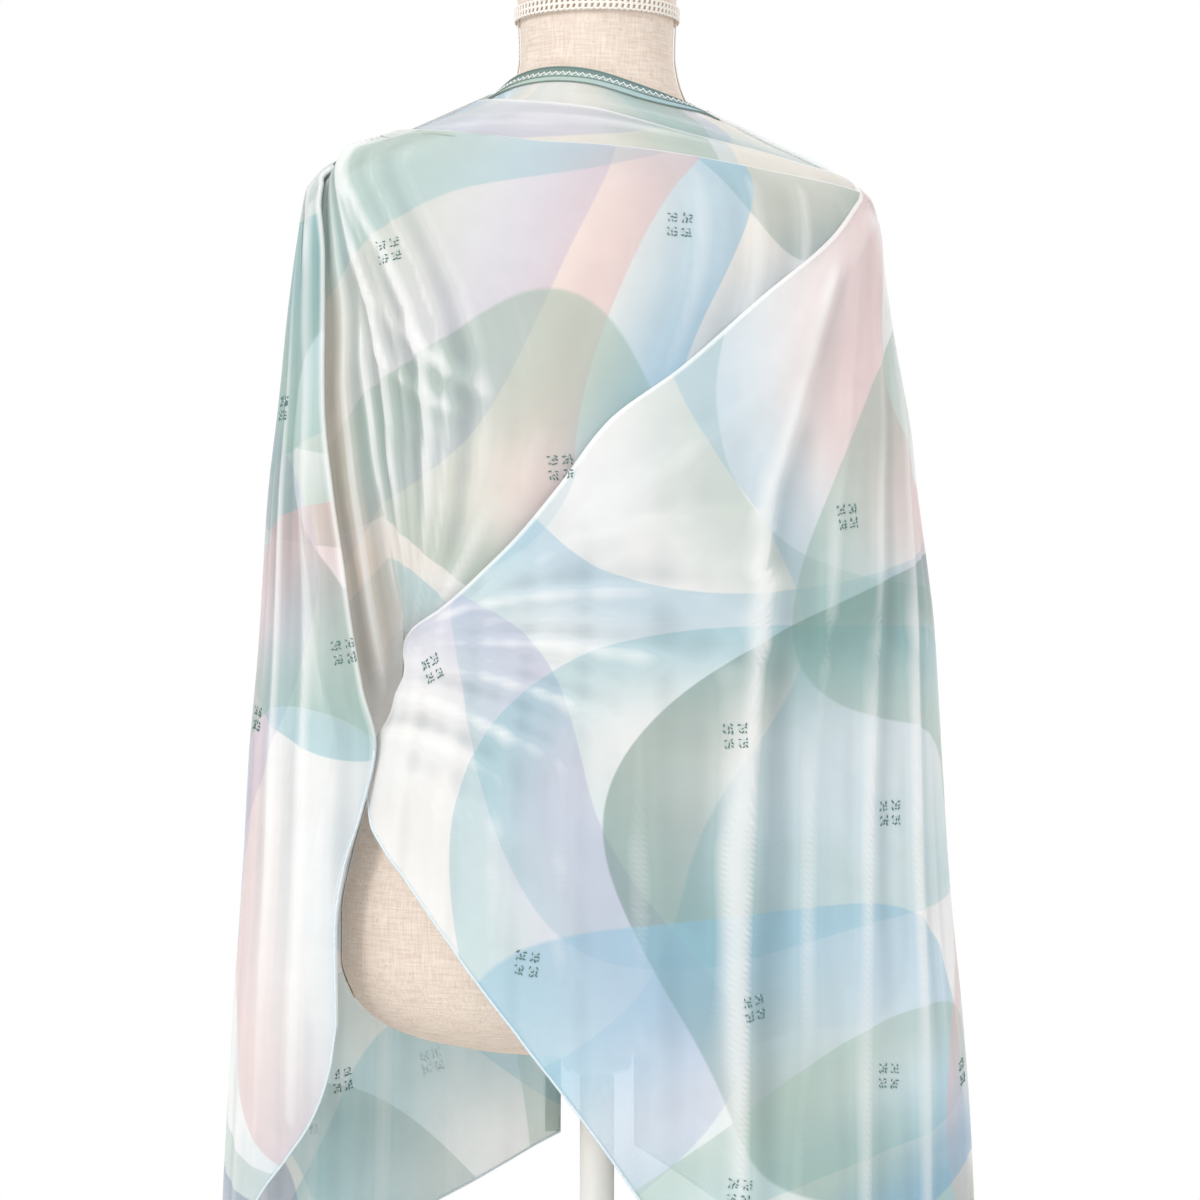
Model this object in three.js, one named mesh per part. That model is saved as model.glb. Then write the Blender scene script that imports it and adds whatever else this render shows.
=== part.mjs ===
// A sheer crepe shawl worn front to back over a limbless dress form on a plain round stand.
// Millimetres, +Z up. The front of the form faces -Y and its right-hand side as seen is +X.
// The origin is the centre of the base plate's flat underside.
//
// The shawl is one long rectangle. Its banded long edge crosses the front of the neck, its two
// ends fall behind the shoulders, and its middle is pulled across to the waist in one deep
// diagonal fold. Each stretch of it that shows is a thin wall with its own node.

import * as THREE from 'three';

// ---- Driving dimensions ------------------------------------------------------------------

const CLOTH = 1.6; // thickness of a cloth wall
const BAND = { width: 11, thick: 1.0 }; // stitched band on the shawl's upper long edge
const BRAID = { width: 5, thick: 1.4, top: 990, foot: 300 }; // braid over the form's side seams
const NECK_BRAID = { top: 993, foot: 983, thick: 2.6 }; // braid around the neck
const LAY = 0.4; // space between a trim and what it lies on
const BAND_LAY = 1.6; // the same under the shawl's band, whose cloth is faceted
const SEAM = 0.6; // space between two stretches where they meet
const HEM_LOW = 64; // height of the lowest hem over the surface
const BASE = { radius: 165, thick: 10, bevel: 3 };
const POLE = { radius: 12, collar: 24, collarHeight: 14 };
const FINEST_FOLD = 9; // the narrowest flank that a fold has in these plain walls
const FOLD_SCALE = 3.0; // millimetres of cloth for each degree around the figure

// How far each layer over the neck and chest stands off its shell
const LAYER = { upper: -4.5, second: 0, chest: 4.8 };
const TUCK = 9; // what a pleat hides under the next one

// Degrees turned from the front at which the shawl's stretches end
const SIDE_TURN = 89.8; // the side line, where front and back stretches meet
const BACK_TURN = 174; // the falls' inner edges, behind
const BAND_START = 106; // the bands behind the neck, clear of the band in front

// Heights at which stretches start and end
const FALL_TOP = 882;
const WRAP_TOP = 853;
const BRIDGE = { top: 864, foot: 490, sag: 5, inside: 14 }; // the single layer at the left side

// ---- Tables: one row for each level section ----------------------------------------------

// The dress form: half its width, and its depth before and behind the side seams
const FORM = [
  { z: 1000, half: 56, front: 56, back: 56 },
  { z: 985, half: 54, front: 54, back: 54 },
  { z: 960, half: 53, front: 52, back: 54 },
  { z: 945, half: 55, front: 53, back: 57 },
  { z: 932, half: 59, front: 56, back: 62 },
  { z: 920, half: 66, front: 60, back: 67 },
  { z: 910, half: 80, front: 65, back: 72 },
  { z: 900, half: 97, front: 70, back: 77 },
  { z: 890, half: 116, front: 75, back: 81 },
  { z: 880, half: 135, front: 79, back: 85 },
  { z: 870, half: 151, front: 84, back: 89 },
  { z: 860, half: 163, front: 89, back: 92 },
  { z: 848, half: 171, front: 94, back: 95 },
  { z: 825, half: 175, front: 100, back: 99 },
  { z: 800, half: 175, front: 105, back: 101 },
  { z: 760, half: 170, front: 111, back: 102 },
  { z: 715, half: 166, front: 115, back: 100 },
  { z: 680, half: 161, front: 112, back: 96 },
  { z: 640, half: 151, front: 105, back: 90 },
  { z: 600, half: 140, front: 96, back: 85 },
  { z: 565, half: 134, front: 90, back: 83 },
  { z: 535, half: 134, front: 89, back: 86 },
  { z: 500, half: 141, front: 92, back: 95 },
  { z: 450, half: 157, front: 100, back: 109 },
  { z: 400, half: 171, front: 108, back: 118 },
  { z: 360, half: 178, front: 111, back: 121 },
  { z: 330, half: 178, front: 110, back: 120 },
  { z: 305, half: 170, front: 104, back: 114 },
  { z: 288, half: 154, front: 94, back: 102 },
  { z: 276, half: 128, front: 78, back: 84 },
  { z: 268, half: 90, front: 55, back: 60 },
];
const FORM_BOTTOM = 265;

// Every layer shares these rows over the shoulders
const SHOULDERS = [
  { z: 960, left: 62, right: 61, front: 60, back: 62 },
  { z: 946, left: 65, right: 62, front: 62, back: 65 },
  { z: 938, left: 70, right: 64, front: 64, back: 68 },
  { z: 930, left: 80, right: 68, front: 67, back: 71 },
  { z: 920, left: 97, right: 82, front: 71, back: 77 },
  { z: 910, left: 117, right: 104, front: 76, back: 83 },
  { z: 900, left: 145, right: 124, front: 81, back: 88 },
  { z: 890, left: 171, right: 146, front: 86, back: 92 },
];

// The cloth that lies on the chest
const CHEST = [
  ...SHOULDERS,
  { z: 880, left: 188, right: 166, front: 91, back: 97 },
  { z: 870, left: 194, right: 179, front: 96, back: 101 },
  { z: 860, left: 196, right: 185, front: 100, back: 104 },
  { z: 848, left: 196, right: 188, front: 105, back: 107 },
  { z: 825, left: 194, right: 189, front: 111, back: 111 },
  { z: 800, left: 190, right: 188, front: 116, back: 113 },
  { z: 760, left: 183, right: 182, front: 121, back: 114 },
  { z: 715, left: 176, right: 178, front: 126, back: 112 },
  { z: 680, left: 171, right: 172, front: 124, back: 108 },
  { z: 640, left: 161, right: 162, front: 117, back: 102 },
  { z: 600, left: 150, right: 150, front: 108, back: 97 },
  { z: 565, left: 144, right: 144, front: 102, back: 95 },
  { z: 535, left: 144, right: 144, front: 100, back: 98 },
  { z: 500, left: 151, right: 151, front: 102, back: 106 },
  { z: 450, left: 166, right: 166, front: 110, back: 120 },
];

// The outer cloth: the diagonal fold, the front below it and the right-hand fall
const WRAP = [
  ...SHOULDERS,
  { z: 880, left: 188, right: 166, front: 96, back: 97 },
  { z: 870, left: 194, right: 180, front: 104, back: 101 },
  { z: 863, left: 195, right: 188, front: 109, back: 104 },
  { z: 857, left: 196, right: 193, front: 112, back: 107 },
  { z: 845, left: 196, right: 196, front: 116, back: 110 },
  { z: 811, left: 196, right: 199, front: 122, back: 114 },
  { z: 780, left: 194, right: 204, front: 127, back: 116 },
  { z: 733, left: 190, right: 213, front: 132, back: 118 },
  { z: 700, left: 186, right: 219, front: 135, back: 119 },
  { z: 653, left: 176, right: 224, front: 134, back: 120 },
  { z: 600, left: 160, right: 231, front: 128, back: 121 },
  { z: 565, left: 156, right: 235, front: 123, back: 122 },
  { z: 535, left: 158, right: 237, front: 122, back: 123 },
  { z: 500, left: 166, right: 239, front: 124, back: 125 },
  { z: 450, left: 180, right: 242, front: 127, back: 128 },
  { z: 400, left: 188, right: 245, front: 130, back: 131 },
  { z: 350, left: 192, right: 249, front: 132, back: 133 },
  { z: 300, left: 194, right: 254, front: 133, back: 135 },
  { z: 209, left: 195, right: 261, front: 136, back: 137 },
  { z: 160, left: 195, right: 263, front: 138, back: 138 },
  { z: 50, left: 196, right: 267, front: 141, back: 140 },
];

// The left-hand fall, which hangs free of the form
const FALL = [
  ...SHOULDERS,
  { z: 880, left: 192, right: 166, front: 100, back: 97 },
  { z: 870, left: 200, right: 179, front: 107, back: 101 },
  { z: 860, left: 204, right: 185, front: 110, back: 105 },
  { z: 790, left: 215, right: 190, front: 111, back: 115 },
  { z: 720, left: 222, right: 190, front: 110, back: 118 },
  { z: 650, left: 230, right: 190, front: 105, back: 120 },
  { z: 545, left: 237, right: 190, front: 95, back: 123 },
  { z: 475, left: 243, right: 190, front: 92, back: 126 },
  { z: 400, left: 247, right: 190, front: 98, back: 131 },
  { z: 300, left: 254, right: 190, front: 109, back: 135 },
  { z: 223, left: 258, right: 190, front: 112, back: 137 },
  { z: 160, left: 261, right: 190, front: 113, back: 138 },
  { z: 50, left: 265, right: 190, front: 115, back: 140 },
];

// Heights around the neck, by degrees turned from the front (left is negative): the banded
// edge, and the folded edges of the upper and the lower pleat
const NECKLINE = [
  { turn: -90, edge: 938, upper: 928, lower: 903 },
  { turn: -60, edge: 944, upper: 925, lower: 899 },
  { turn: -30, edge: 946, upper: 920, lower: 893 },
  { turn: -10, edge: 944, upper: 916, lower: 886 },
  { turn: 0, edge: 942, upper: 913, lower: 884 },
  { turn: 15, edge: 937, upper: 905, lower: 879 },
  { turn: 30, edge: 932, upper: 895, lower: 872 },
  { turn: 45, edge: 928, upper: 886, lower: 866 },
  { turn: 60, edge: 925, upper: 877, lower: 862 },
  { turn: 90, edge: 923, upper: 871, lower: 857 },
];

// The edge of each fall behind the neck, by degrees turned from the side line to the back
const BACK_EDGE = [
  { turn: 90, left: 938, right: 923 },
  { turn: 120, left: 930, right: 919 },
  { turn: 135, left: 925, right: 914 },
  { turn: 150, left: 913, right: 905 },
  { turn: 160, left: 902, right: 894 },
  { turn: 168, left: 880, right: 876 },
  { turn: 174, left: 850, right: 850 },
];

// The hems behind, by degrees turned from the front: lowest at the side, rising to the middle
const BACK_HEM = [
  { turn: 80, left: 96, right: HEM_LOW },
  { turn: 120, left: 104, right: 74 },
  { turn: 150, left: 132, right: 112 },
  { turn: 174, left: 186, right: 176 },
];

// Left-hand limit of the outer cloth: the diagonal folded edge, the tuck at the waist, then
// the long rolled hem
const WRAP_EDGE = [
  { z: 857, x: 184 },
  { z: 827, x: 163 },
  { z: 781, x: 111 },
  { z: 733, x: 57 },
  { z: 697, x: 9 },
  { z: 653, x: -25 },
  { z: 621, x: -52 },
  { z: 593, x: -81 },
  { z: 572, x: -105 },
  { z: 560, x: -123 },
  { z: 550, x: -129 },
  { z: 535, x: -126 },
  { z: 515, x: -134 },
  { z: 480, x: -150 },
  { z: 447, x: -156 },
  { z: 430, x: -154 },
  { z: 411, x: -143 },
  { z: 389, x: -126 },
  { z: 332, x: -84 },
  { z: 290, x: -51 },
  { z: 222, x: 2 },
  { z: 185, x: 28 },
  { z: 100, x: 88 },
  { z: HEM_LOW, x: 113 },
];

// Where the outer cloth turns from the front to the right-hand fall
const FRONT_FOLD = [
  { z: 857, x: 187 },
  { z: 800, x: 160 },
  { z: 713, x: 124 },
  { z: 553, x: 111 },
  { z: 400, x: 96 },
  { z: 187, x: 87 },
  { z: 100, x: 98 },
  { z: HEM_LOW, x: 118 },
];

// The fan of gathers at the waist: how far right it reaches
const FAN_EDGE = [
  { z: 572, x: -14 },
  { z: 530, x: -48 },
  { z: 500, x: -84 },
  { z: 470, x: -122 },
  { z: 444, x: -148 },
];

// The chest cloth's left part: where its pleated run starts and ends, and where the fall's
// folded lip hangs in front of it
const LEFT_SIDE = [
  { z: 890, swag: -152, bridge: -163, lip: -168 },
  { z: 870, swag: -150, bridge: -172, lip: -190 },
  { z: 812, swag: -134, bridge: -160, lip: -187 },
  { z: 713, swag: -100, bridge: -149, lip: -186 },
  { z: 650, swag: -97, bridge: -141, lip: -181 },
  { z: 600, swag: -104, bridge: -134, lip: -174 },
  { z: 556, swag: -114, bridge: -128, lip: -168 },
  { z: 519, swag: -114, bridge: -128, lip: -161 },
  { z: 481, swag: -114, bridge: -141, lip: -151 },
  { z: 437, swag: -114, bridge: -150, lip: -160 },
  { z: 394, swag: -114, bridge: -150, lip: -173 },
  { z: 355, swag: -114, bridge: -150, lip: -178 },
  { z: 297, swag: -114, bridge: -150, lip: -177 },
];

// The hem of the left-hand fall in front, from its free edge out and down to the side
const FALL_HEM = [
  { turn: -90, z: 92 },
  { turn: -80, z: 108 },
  { turn: -70, z: 138 },
  { turn: -62, z: 172 },
  { turn: -54, z: 202 },
  { turn: -48, z: 232 },
  { turn: -45, z: 262 },
  { turn: -44, z: 292 },
];

// Where the chest cloth stops under the outer cloth
const CHEST_END = [
  { turn: -90, z: 548 },
  { turn: -60, z: 553 },
  { turn: -30, z: 562 },
  { turn: 0, z: 574 },
  { turn: 45, z: 590 },
  { turn: 90, z: 600 },
];

// ---- Folds: one row each. Points are x and z as seen from the front or the back; high is
// how far the ridge stands out, and left and right are the widths of its two flanks when the
// fold is followed from its first point to its last --------------------------------------

const CHEST_FOLDS = [
  { from: [-184, 876], by: [-160, 745], to: [-133, 560], high: 7, left: 16, right: 9 },
  { from: [-172, 882], by: [-140, 742], to: [-125, 560], high: 8, left: 18, right: 9 },
  { from: [-158, 888], by: [-112, 735], to: [-118, 562], high: 9, left: 24, right: 10 },
  { from: [-128, 880], by: [-72, 705], to: [-108, 566], high: 4, left: 30, right: 16 },
];

const WRAP_FOLDS = [
  { from: [-124, 556], by: [-60, 580], to: [60, 586], high: 6, left: 8, right: 20 },
  { from: [-124, 545], by: [-50, 552], to: [50, 540], high: 6, left: 9, right: 18 },
  { from: [-125, 532], by: [-70, 528], to: [0, 504], high: 5, left: 9, right: 16 },
  { from: [-136, 514], by: [-95, 506], to: [-30, 476], high: 5, left: 9, right: 18 },
  { from: [-148, 488], by: [-112, 486], to: [-66, 462], high: 4, left: 9, right: 16 },
  { from: [112, 590], by: [95, 400], to: [92, 64], high: 10, left: 9, right: 34 },
  { from: [166, 836], by: [124, 690], to: [112, 590], high: 6, left: 10, right: 22 },
  { from: [180, 845], by: [152, 560], to: [132, 64], high: 7, left: 16, right: 22 },
  { from: [187, 840], by: [186, 540], to: [176, 64], high: 9, left: 14, right: 24 },
  { from: [191, 832], by: [214, 520], to: [222, 64], high: 9, left: 14, right: 20 },
  { from: [176, 850], by: [196, 520], to: [200, 70], high: 10, left: 20, right: 20, behind: true },
  { from: [130, 850], by: [134, 520], to: [126, 90], high: 9, left: 16, right: 24, behind: true },
  { from: [70, 850], by: [76, 500], to: [70, 130], high: 8, left: 14, right: 22, behind: true },
];

const FALL_FOLDS = [
  { from: [-196, 864], by: [-214, 600], to: [-236, 110], high: 8, left: 20, right: 14 },
  { from: [-192, 850], by: [-196, 600], to: [-208, 230], high: 7, left: 16, right: 12 },
  { from: [-182, 850], by: [-204, 540], to: [-214, 110], high: 9, left: 20, right: 20, behind: true },
  { from: [-140, 850], by: [-150, 520], to: [-150, 120], high: 10, left: 18, right: 24, behind: true },
  { from: [-84, 850], by: [-92, 500], to: [-88, 140], high: 8, left: 14, right: 22, behind: true },
];

// ---- Curves and shells -------------------------------------------------------------------

const DEGREE = Math.PI / 180;
const clamp = THREE.MathUtils.clamp;
const lerp = THREE.MathUtils.lerp;

// A smooth curve through one column of a table, without overshoot, read by its key column
function curveOf(table, key, column) {
  const rows = [...table].sort((a, b) => a[key] - b[key]);
  const t = rows.map((row) => row[key]);
  const v = rows.map((row) => row[column]);
  const slope = t.slice(1).map((end, i) => (v[i + 1] - v[i]) / (end - t[i]));
  const tangent = v.map((_, i) => {
    const before = slope[i - 1] ?? slope[0];
    const after = slope[i] ?? slope.at(-1);
    return before * after <= 0 ? 0 : (2 * before * after) / (before + after);
  });
  return (at) => {
    const q = clamp(at, t[0], t.at(-1));
    let i = 0;
    while (i < t.length - 2 && q > t[i + 1]) i += 1;
    const span = t[i + 1] - t[i];
    const s = (q - t[i]) / span;
    const rise = v[i + 1] - v[i];
    const a = tangent[i] * span;
    const b = tangent[i + 1] * span;
    return v[i] + a * s + (3 * rise - 2 * a - b) * s * s + (a + b - 2 * rise) * s * s * s;
  };
}

// A fold as a short run of points over the unrolled cloth: degrees turned, and height
function foldPath(fold, turnAt) {
  const turned = [fold.from, fold.by, fold.to].map(([x, z]) => {
    const turn = turnAt(x, z);
    return new THREE.Vector2(fold.behind ? Math.sign(x) * 180 - turn : turn, z);
  });
  const bend = turned[1].clone().multiplyScalar(2).sub(turned[0].clone().lerp(turned[2], 0.5));
  return new THREE.QuadraticBezierCurve(turned[0], bend, turned[2]).getPoints(10);
}

// How far a fold lifts the cloth at a place: full along its middle, fading at both ends
function foldLift(fold, path, turn, z) {
  let best = Infinity;
  let lift = 0;
  for (let i = 0; i + 1 < path.length; i += 1) {
    const run = [(path[i + 1].x - path[i].x) * FOLD_SCALE, path[i + 1].y - path[i].y];
    const off = [(turn - path[i].x) * FOLD_SCALE, z - path[i].y];
    const length = Math.hypot(run[0], run[1]);
    const along = clamp((off[0] * run[0] + off[1] * run[1]) / length ** 2, 0, 1);
    const away = Math.hypot(off[0] - along * run[0], off[1] - along * run[1]);
    if (away < best) {
      best = away;
      const side = run[0] * off[1] - run[1] * off[0] > 0 ? fold.left : fold.right;
      const part = (i + along) / (path.length - 1);
      const fade = Math.sin(Math.PI * clamp(part * 0.9 + 0.08, 0, 1)) ** 0.5;
      lift = fold.high * fade * Math.exp(-((away / Math.max(side, FINEST_FOLD)) ** 2));
    }
  }
  return lift;
}

// A shell is an ellipse-like ring at every height, with folds standing out of it
function makeShell(sections, folds) {
  const ring = {
    left: curveOf(sections, 'z', 'left'),
    right: curveOf(sections, 'z', 'right'),
    front: curveOf(sections, 'z', 'front'),
    back: curveOf(sections, 'z', 'back'),
  };
  const turnAt = (x, z) => {
    const half = x < 0 ? ring.left(z) : ring.right(z);
    return Math.asin(clamp(x / half, -1, 1)) / DEGREE;
  };
  const bare = (turn, z) => {
    const across = Math.sin(turn * DEGREE);
    const along = Math.cos(turn * DEGREE);
    return new THREE.Vector3(
      across * (across < 0 ? ring.left(z) : ring.right(z)),
      -along * (along > 0 ? ring.front(z) : ring.back(z)),
      z,
    );
  };
  const facing = (place, turn, z) => {
    const around = place(turn + 0.4, z).sub(place(turn - 0.4, z));
    const down = place(turn, z - 1.5).sub(place(turn, z + 1.5));
    return down.cross(around).normalize();
  };
  const paths = folds.map((fold) => foldPath(fold, turnAt));
  const lifted = (out) => (turn, z) => {
    const lift = folds.reduce((sum, fold, i) => sum + foldLift(fold, paths[i], turn, z), out);
    return bare(turn, z).addScaledVector(facing(bare, turn, z), lift);
  };
  return { turnAt, lifted, facing };
}

const chest = makeShell(CHEST, CHEST_FOLDS);
const pleats = makeShell(CHEST, []);
const wrap = makeShell(WRAP, WRAP_FOLDS);
const fall = makeShell(FALL, FALL_FOLDS);
const form = makeShell(
  FORM.map(({ z, half, front, back }) => ({ z, left: half, right: half, front, back })),
  [],
);

// ---- Walls ---------------------------------------------------------------------------------

// Equal steps from one height to the next, for each pair in a list of [height, steps]
function rowHeights(stops) {
  return stops.flatMap(([z, steps], i) => {
    const next = stops[i + 1]?.[0] ?? z;
    return Array.from({ length: steps }, (_, k) => lerp(z, next, k / steps));
  });
}

// Reads a list of heights by a share of its length, straight between one and the next
function alongRows(heights) {
  const steps = heights.length - 1;
  return (v) => {
    const row = clamp(Math.floor(v * steps), 0, steps - 1);
    return lerp(heights[row], heights[row + 1], v * steps - row);
  };
}

// A closed mesh from points and triangles, turned the right way out
function closedMesh(points, triangles) {
  const volume = triangles.reduce((sum, [a, b, c]) => {
    const cross = points[b].clone().cross(points[c]);
    return sum + points[a].dot(cross);
  }, 0);
  const wound = volume < 0 ? triangles.map(([a, b, c]) => [a, c, b]) : triangles;
  const geometry = new THREE.BufferGeometry();
  geometry.setAttribute(
    'position',
    new THREE.Float32BufferAttribute(points.flatMap((p) => [p.x, p.y, p.z]), 3),
  );
  geometry.setIndex(wound.flat());
  geometry.computeVertexNormals();
  return geometry;
}

// A wall of even thickness about a surface given as place(u, v), closed round its four edges
function wall(place, uSteps, vSteps, thick) {
  const points = [];
  const step = 0.002;
  for (const half of [thick / 2, -thick / 2]) {
    for (let j = 0; j <= vSteps; j += 1) {
      for (let i = 0; i <= uSteps; i += 1) {
        const u = i / uSteps;
        const v = j / vSteps;
        const along = place(u + step, v).sub(place(u - step, v));
        const down = place(u, v + step).sub(place(u, v - step));
        points.push(place(u, v).addScaledVector(along.cross(down).normalize(), half));
      }
    }
  }
  const layer = (uSteps + 1) * (vSteps + 1);
  const at = (i, j, side) => side * layer + j * (uSteps + 1) + i;
  const triangles = [];
  const quad = (a, b, c, d) => triangles.push([a, b, c], [a, c, d]);
  for (let j = 0; j < vSteps; j += 1) {
    for (let i = 0; i < uSteps; i += 1) {
      quad(at(i, j, 0), at(i + 1, j, 0), at(i + 1, j + 1, 0), at(i, j + 1, 0));
      quad(at(i, j, 1), at(i, j + 1, 1), at(i + 1, j + 1, 1), at(i + 1, j, 1));
    }
  }
  for (let i = 0; i < uSteps; i += 1) {
    quad(at(i, 0, 0), at(i, 0, 1), at(i + 1, 0, 1), at(i + 1, 0, 0));
    quad(at(i + 1, vSteps, 0), at(i + 1, vSteps, 1), at(i, vSteps, 1), at(i, vSteps, 0));
  }
  for (let j = 0; j < vSteps; j += 1) {
    quad(at(0, j + 1, 0), at(0, j + 1, 1), at(0, j, 1), at(0, j, 0));
    quad(at(uSteps, j, 0), at(uSteps, j, 1), at(uSteps, j + 1, 1), at(uSteps, j + 1, 0));
  }
  return closedMesh(points, triangles);
}

// A solid of rings stacked from the top down, closed at both ends
function ringSolid(heights, ringAt, segments) {
  const points = [];
  const triangles = [];
  heights.forEach((z) => {
    for (let i = 0; i < segments; i += 1) points.push(ringAt((i * 360) / segments, z));
  });
  const at = (i, j) => j * segments + (i % segments);
  for (let j = 0; j + 1 < heights.length; j += 1) {
    for (let i = 0; i < segments; i += 1) {
      triangles.push([at(i, j), at(i, j + 1), at(i + 1, j + 1)]);
      triangles.push([at(i, j), at(i + 1, j + 1), at(i + 1, j)]);
    }
  }
  const last = heights.length - 1;
  points.push(new THREE.Vector3(0, 0, heights[0]), new THREE.Vector3(0, 0, FORM_BOTTOM));
  for (let i = 0; i < segments; i += 1) {
    triangles.push([at(i, 0), at(i + 1, 0), points.length - 2]);
    triangles.push([at(i + 1, last), at(i, last), points.length - 1]);
  }
  return closedMesh(points, triangles);
}

// A turned solid from a closed half outline of radius and height
function turned(outline, segments = 32) {
  const profile = outline.map(([radius, z]) => new THREE.Vector2(radius, z));
  return new THREE.LatheGeometry(profile, segments).rotateX(Math.PI / 2);
}

// ---- The object ------------------------------------------------------------------------------

const part = new THREE.Group();

const LOOKS = {
  crepe: { color: 0xdfe6e4, roughness: 0.7, metalness: 0 },
  band: { color: 0xa9bfb6, roughness: 0.75, metalness: 0 },
  linen: { color: 0xdccdbf, roughness: 0.9, metalness: 0 },
  braid: { color: 0xece6dc, roughness: 0.85, metalness: 0 },
  enamel: { color: 0xf0efec, roughness: 0.4, metalness: 0 },
};

function add(name, look, geometry) {
  const mesh = new THREE.Mesh(geometry, new THREE.MeshStandardMaterial(LOOKS[look]));
  mesh.name = name;
  part.add(mesh);
}

// Rows of a wall crowd towards its top, where the cloth bends over the shoulders
const crowd = (v) => Math.sign(v) * Math.abs(v) ** 1.9;

// A stretch between two turns, and between two heights that change with the turn
function stretch(name, shell, out, { turns, heights, rowAt = (v) => v }, uSteps, vSteps) {
  const surface = shell.lifted(out);
  const place = (u, v) => {
    const turn = lerp(turns[0], turns[1], u);
    return surface(turn, lerp(heights[0](turn), heights[1](turn), rowAt(v)));
  };
  add(name, 'crepe', wall(place, uSteps, vSteps, CLOTH));
}

// The heights of the form's rings: its table's rows, with one more in each long interval
const FORM_HEIGHTS = FORM.flatMap(({ z }, i) => {
  const next = FORM[i + 1]?.z ?? z;
  return z - next > 22 ? [z, (z + next) / 2] : [z];
});

function addForm() {
  const surface = form.lifted(0);
  const ringAt = (turn, z) => surface(turn > 180 ? turn - 360 : turn, z);
  add('form_torso', 'linen', ringSolid(FORM_HEIGHTS, ringAt, 36));
  const top = FORM[0];
  const capFoot = top.z + LAY;
  add('form_neck_cap', 'linen', turned([
    [0, capFoot],
    [top.half - 1, capFoot],
    [top.half - 2, capFoot + 3],
    [top.half * 0.6, capFoot + 7],
    [0, capFoot + 9],
  ]));
  const braidIn = top.half + LAY;
  const braidOut = braidIn + NECK_BRAID.thick;
  add('form_neck_braid', 'braid', turned([
    [braidIn, NECK_BRAID.foot],
    [braidOut, NECK_BRAID.foot + 1],
    [braidOut, NECK_BRAID.top - 1],
    [braidIn, NECK_BRAID.top],
    [braidIn, NECK_BRAID.foot],
  ], 36));
}

function addSideBraids() {
  const surface = form.lifted(LAY + BRAID.thick / 2);
  const heights = FORM_HEIGHTS.filter((z) => z < BRAID.top && z > BRAID.foot);
  const heightAt = alongRows(heights);
  for (const [name, side] of [['form_left_braid', -90], ['form_right_braid', 90]]) {
    const place = (u, v) => {
      const point = surface(side, heightAt(v));
      return point.setY((u - 0.5) * BRAID.width);
    };
    add(name, 'braid', wall(place, 1, heights.length - 1, BRAID.thick));
  }
}

function addStand() {
  const { radius, thick, bevel } = BASE;
  add('stand_base', 'enamel', turned([
    [0, 0],
    [radius, 0],
    [radius, thick - bevel],
    [radius - bevel, thick],
    [0, thick],
  ], 48));
  const poleFoot = thick + LAY;
  const poleTop = FORM_BOTTOM - POLE.collarHeight - 2 * LAY;
  add('stand_pole', 'enamel', turned([
    [0, poleFoot],
    [POLE.radius, poleFoot],
    [POLE.radius, poleTop],
    [0, poleTop],
  ], 24));
  const collarFoot = poleTop + LAY;
  add('stand_collar', 'enamel', turned([
    [0, collarFoot],
    [POLE.collar - 4, collarFoot],
    [POLE.collar, collarFoot + 4],
    [POLE.collar, FORM_BOTTOM - LAY],
    [0, FORM_BOTTOM - LAY],
  ], 24));
}

// The pleats over the front of the neck, and the chest cloth under the diagonal fold
function addNeckAndChest() {
  const edge = curveOf(NECKLINE, 'turn', 'edge');
  const upper = curveOf(NECKLINE, 'turn', 'upper');
  const lower = curveOf(NECKLINE, 'turn', 'lower');
  const end = curveOf(CHEST_END, 'turn', 'z');
  const swag = curveOf(LEFT_SIDE, 'z', 'swag');
  const bridge = curveOf(LEFT_SIDE, 'z', 'bridge');
  const whole = [-SIDE_TURN, SIDE_TURN];
  const under = (fold) => (turn) => fold(turn) - TUCK;
  stretch('upper_pleat', pleats, LAYER.upper, { turns: whole, heights: [edge, under(upper)] }, 26, 5);
  stretch('second_pleat', pleats, LAYER.second, { turns: whole, heights: [upper, under(lower)] }, 26, 5);

  // The chest cloth and its pleated left run meet along a line that leans with the folds
  const chestLeft = (z) => chest.turnAt(swag(z), z);
  const swagLeft = (z) => chest.turnAt(bridge(z), z);
  const slant = (from, to) => (u, v) => {
    let turn = lerp(-60, SIDE_TURN, u);
    let z = lerp(lower(turn), end(turn), crowd(v));
    for (let pass = 0; pass < 6; pass += 1) {
      turn = lerp(from(z), to(z), u);
      z = lerp(lower(turn), end(turn), crowd(v));
    }
    return chest.lifted(LAYER.chest)(turn, z);
  };
  const gap = SEAM / FOLD_SCALE;
  add('chest_stretch', 'crepe', wall(slant((z) => chestLeft(z) + gap, () => SIDE_TURN), 17, 15, CLOTH));
  add('left_shoulder_swag', 'crepe', wall(slant(swagLeft, chestLeft), 7, 15, CLOTH));
  return { edge, bridge };
}

// The single layer from the pleated run to behind the lip of the left-hand fall
function addSideStretch(bridge) {
  const lip = curveOf(LEFT_SIDE, 'z', 'lip');
  const start = chest.lifted(LAYER.chest);
  const end = fall.lifted(-BRIDGE.inside);
  const place = (u, v) => {
    const z = lerp(BRIDGE.top, BRIDGE.foot, v);
    const from = start(chest.turnAt(bridge(z), z) - SEAM, z);
    const to = end(fall.turnAt(lip(z), z) - 4, z);
    const sag = BRIDGE.sag * Math.sin(Math.PI * u);
    return from.lerp(to, u).add(new THREE.Vector3(0, sag, 0));
  };
  add('left_side_stretch', 'crepe', wall(place, 5, 15, CLOTH));
  return lip;
}

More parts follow.
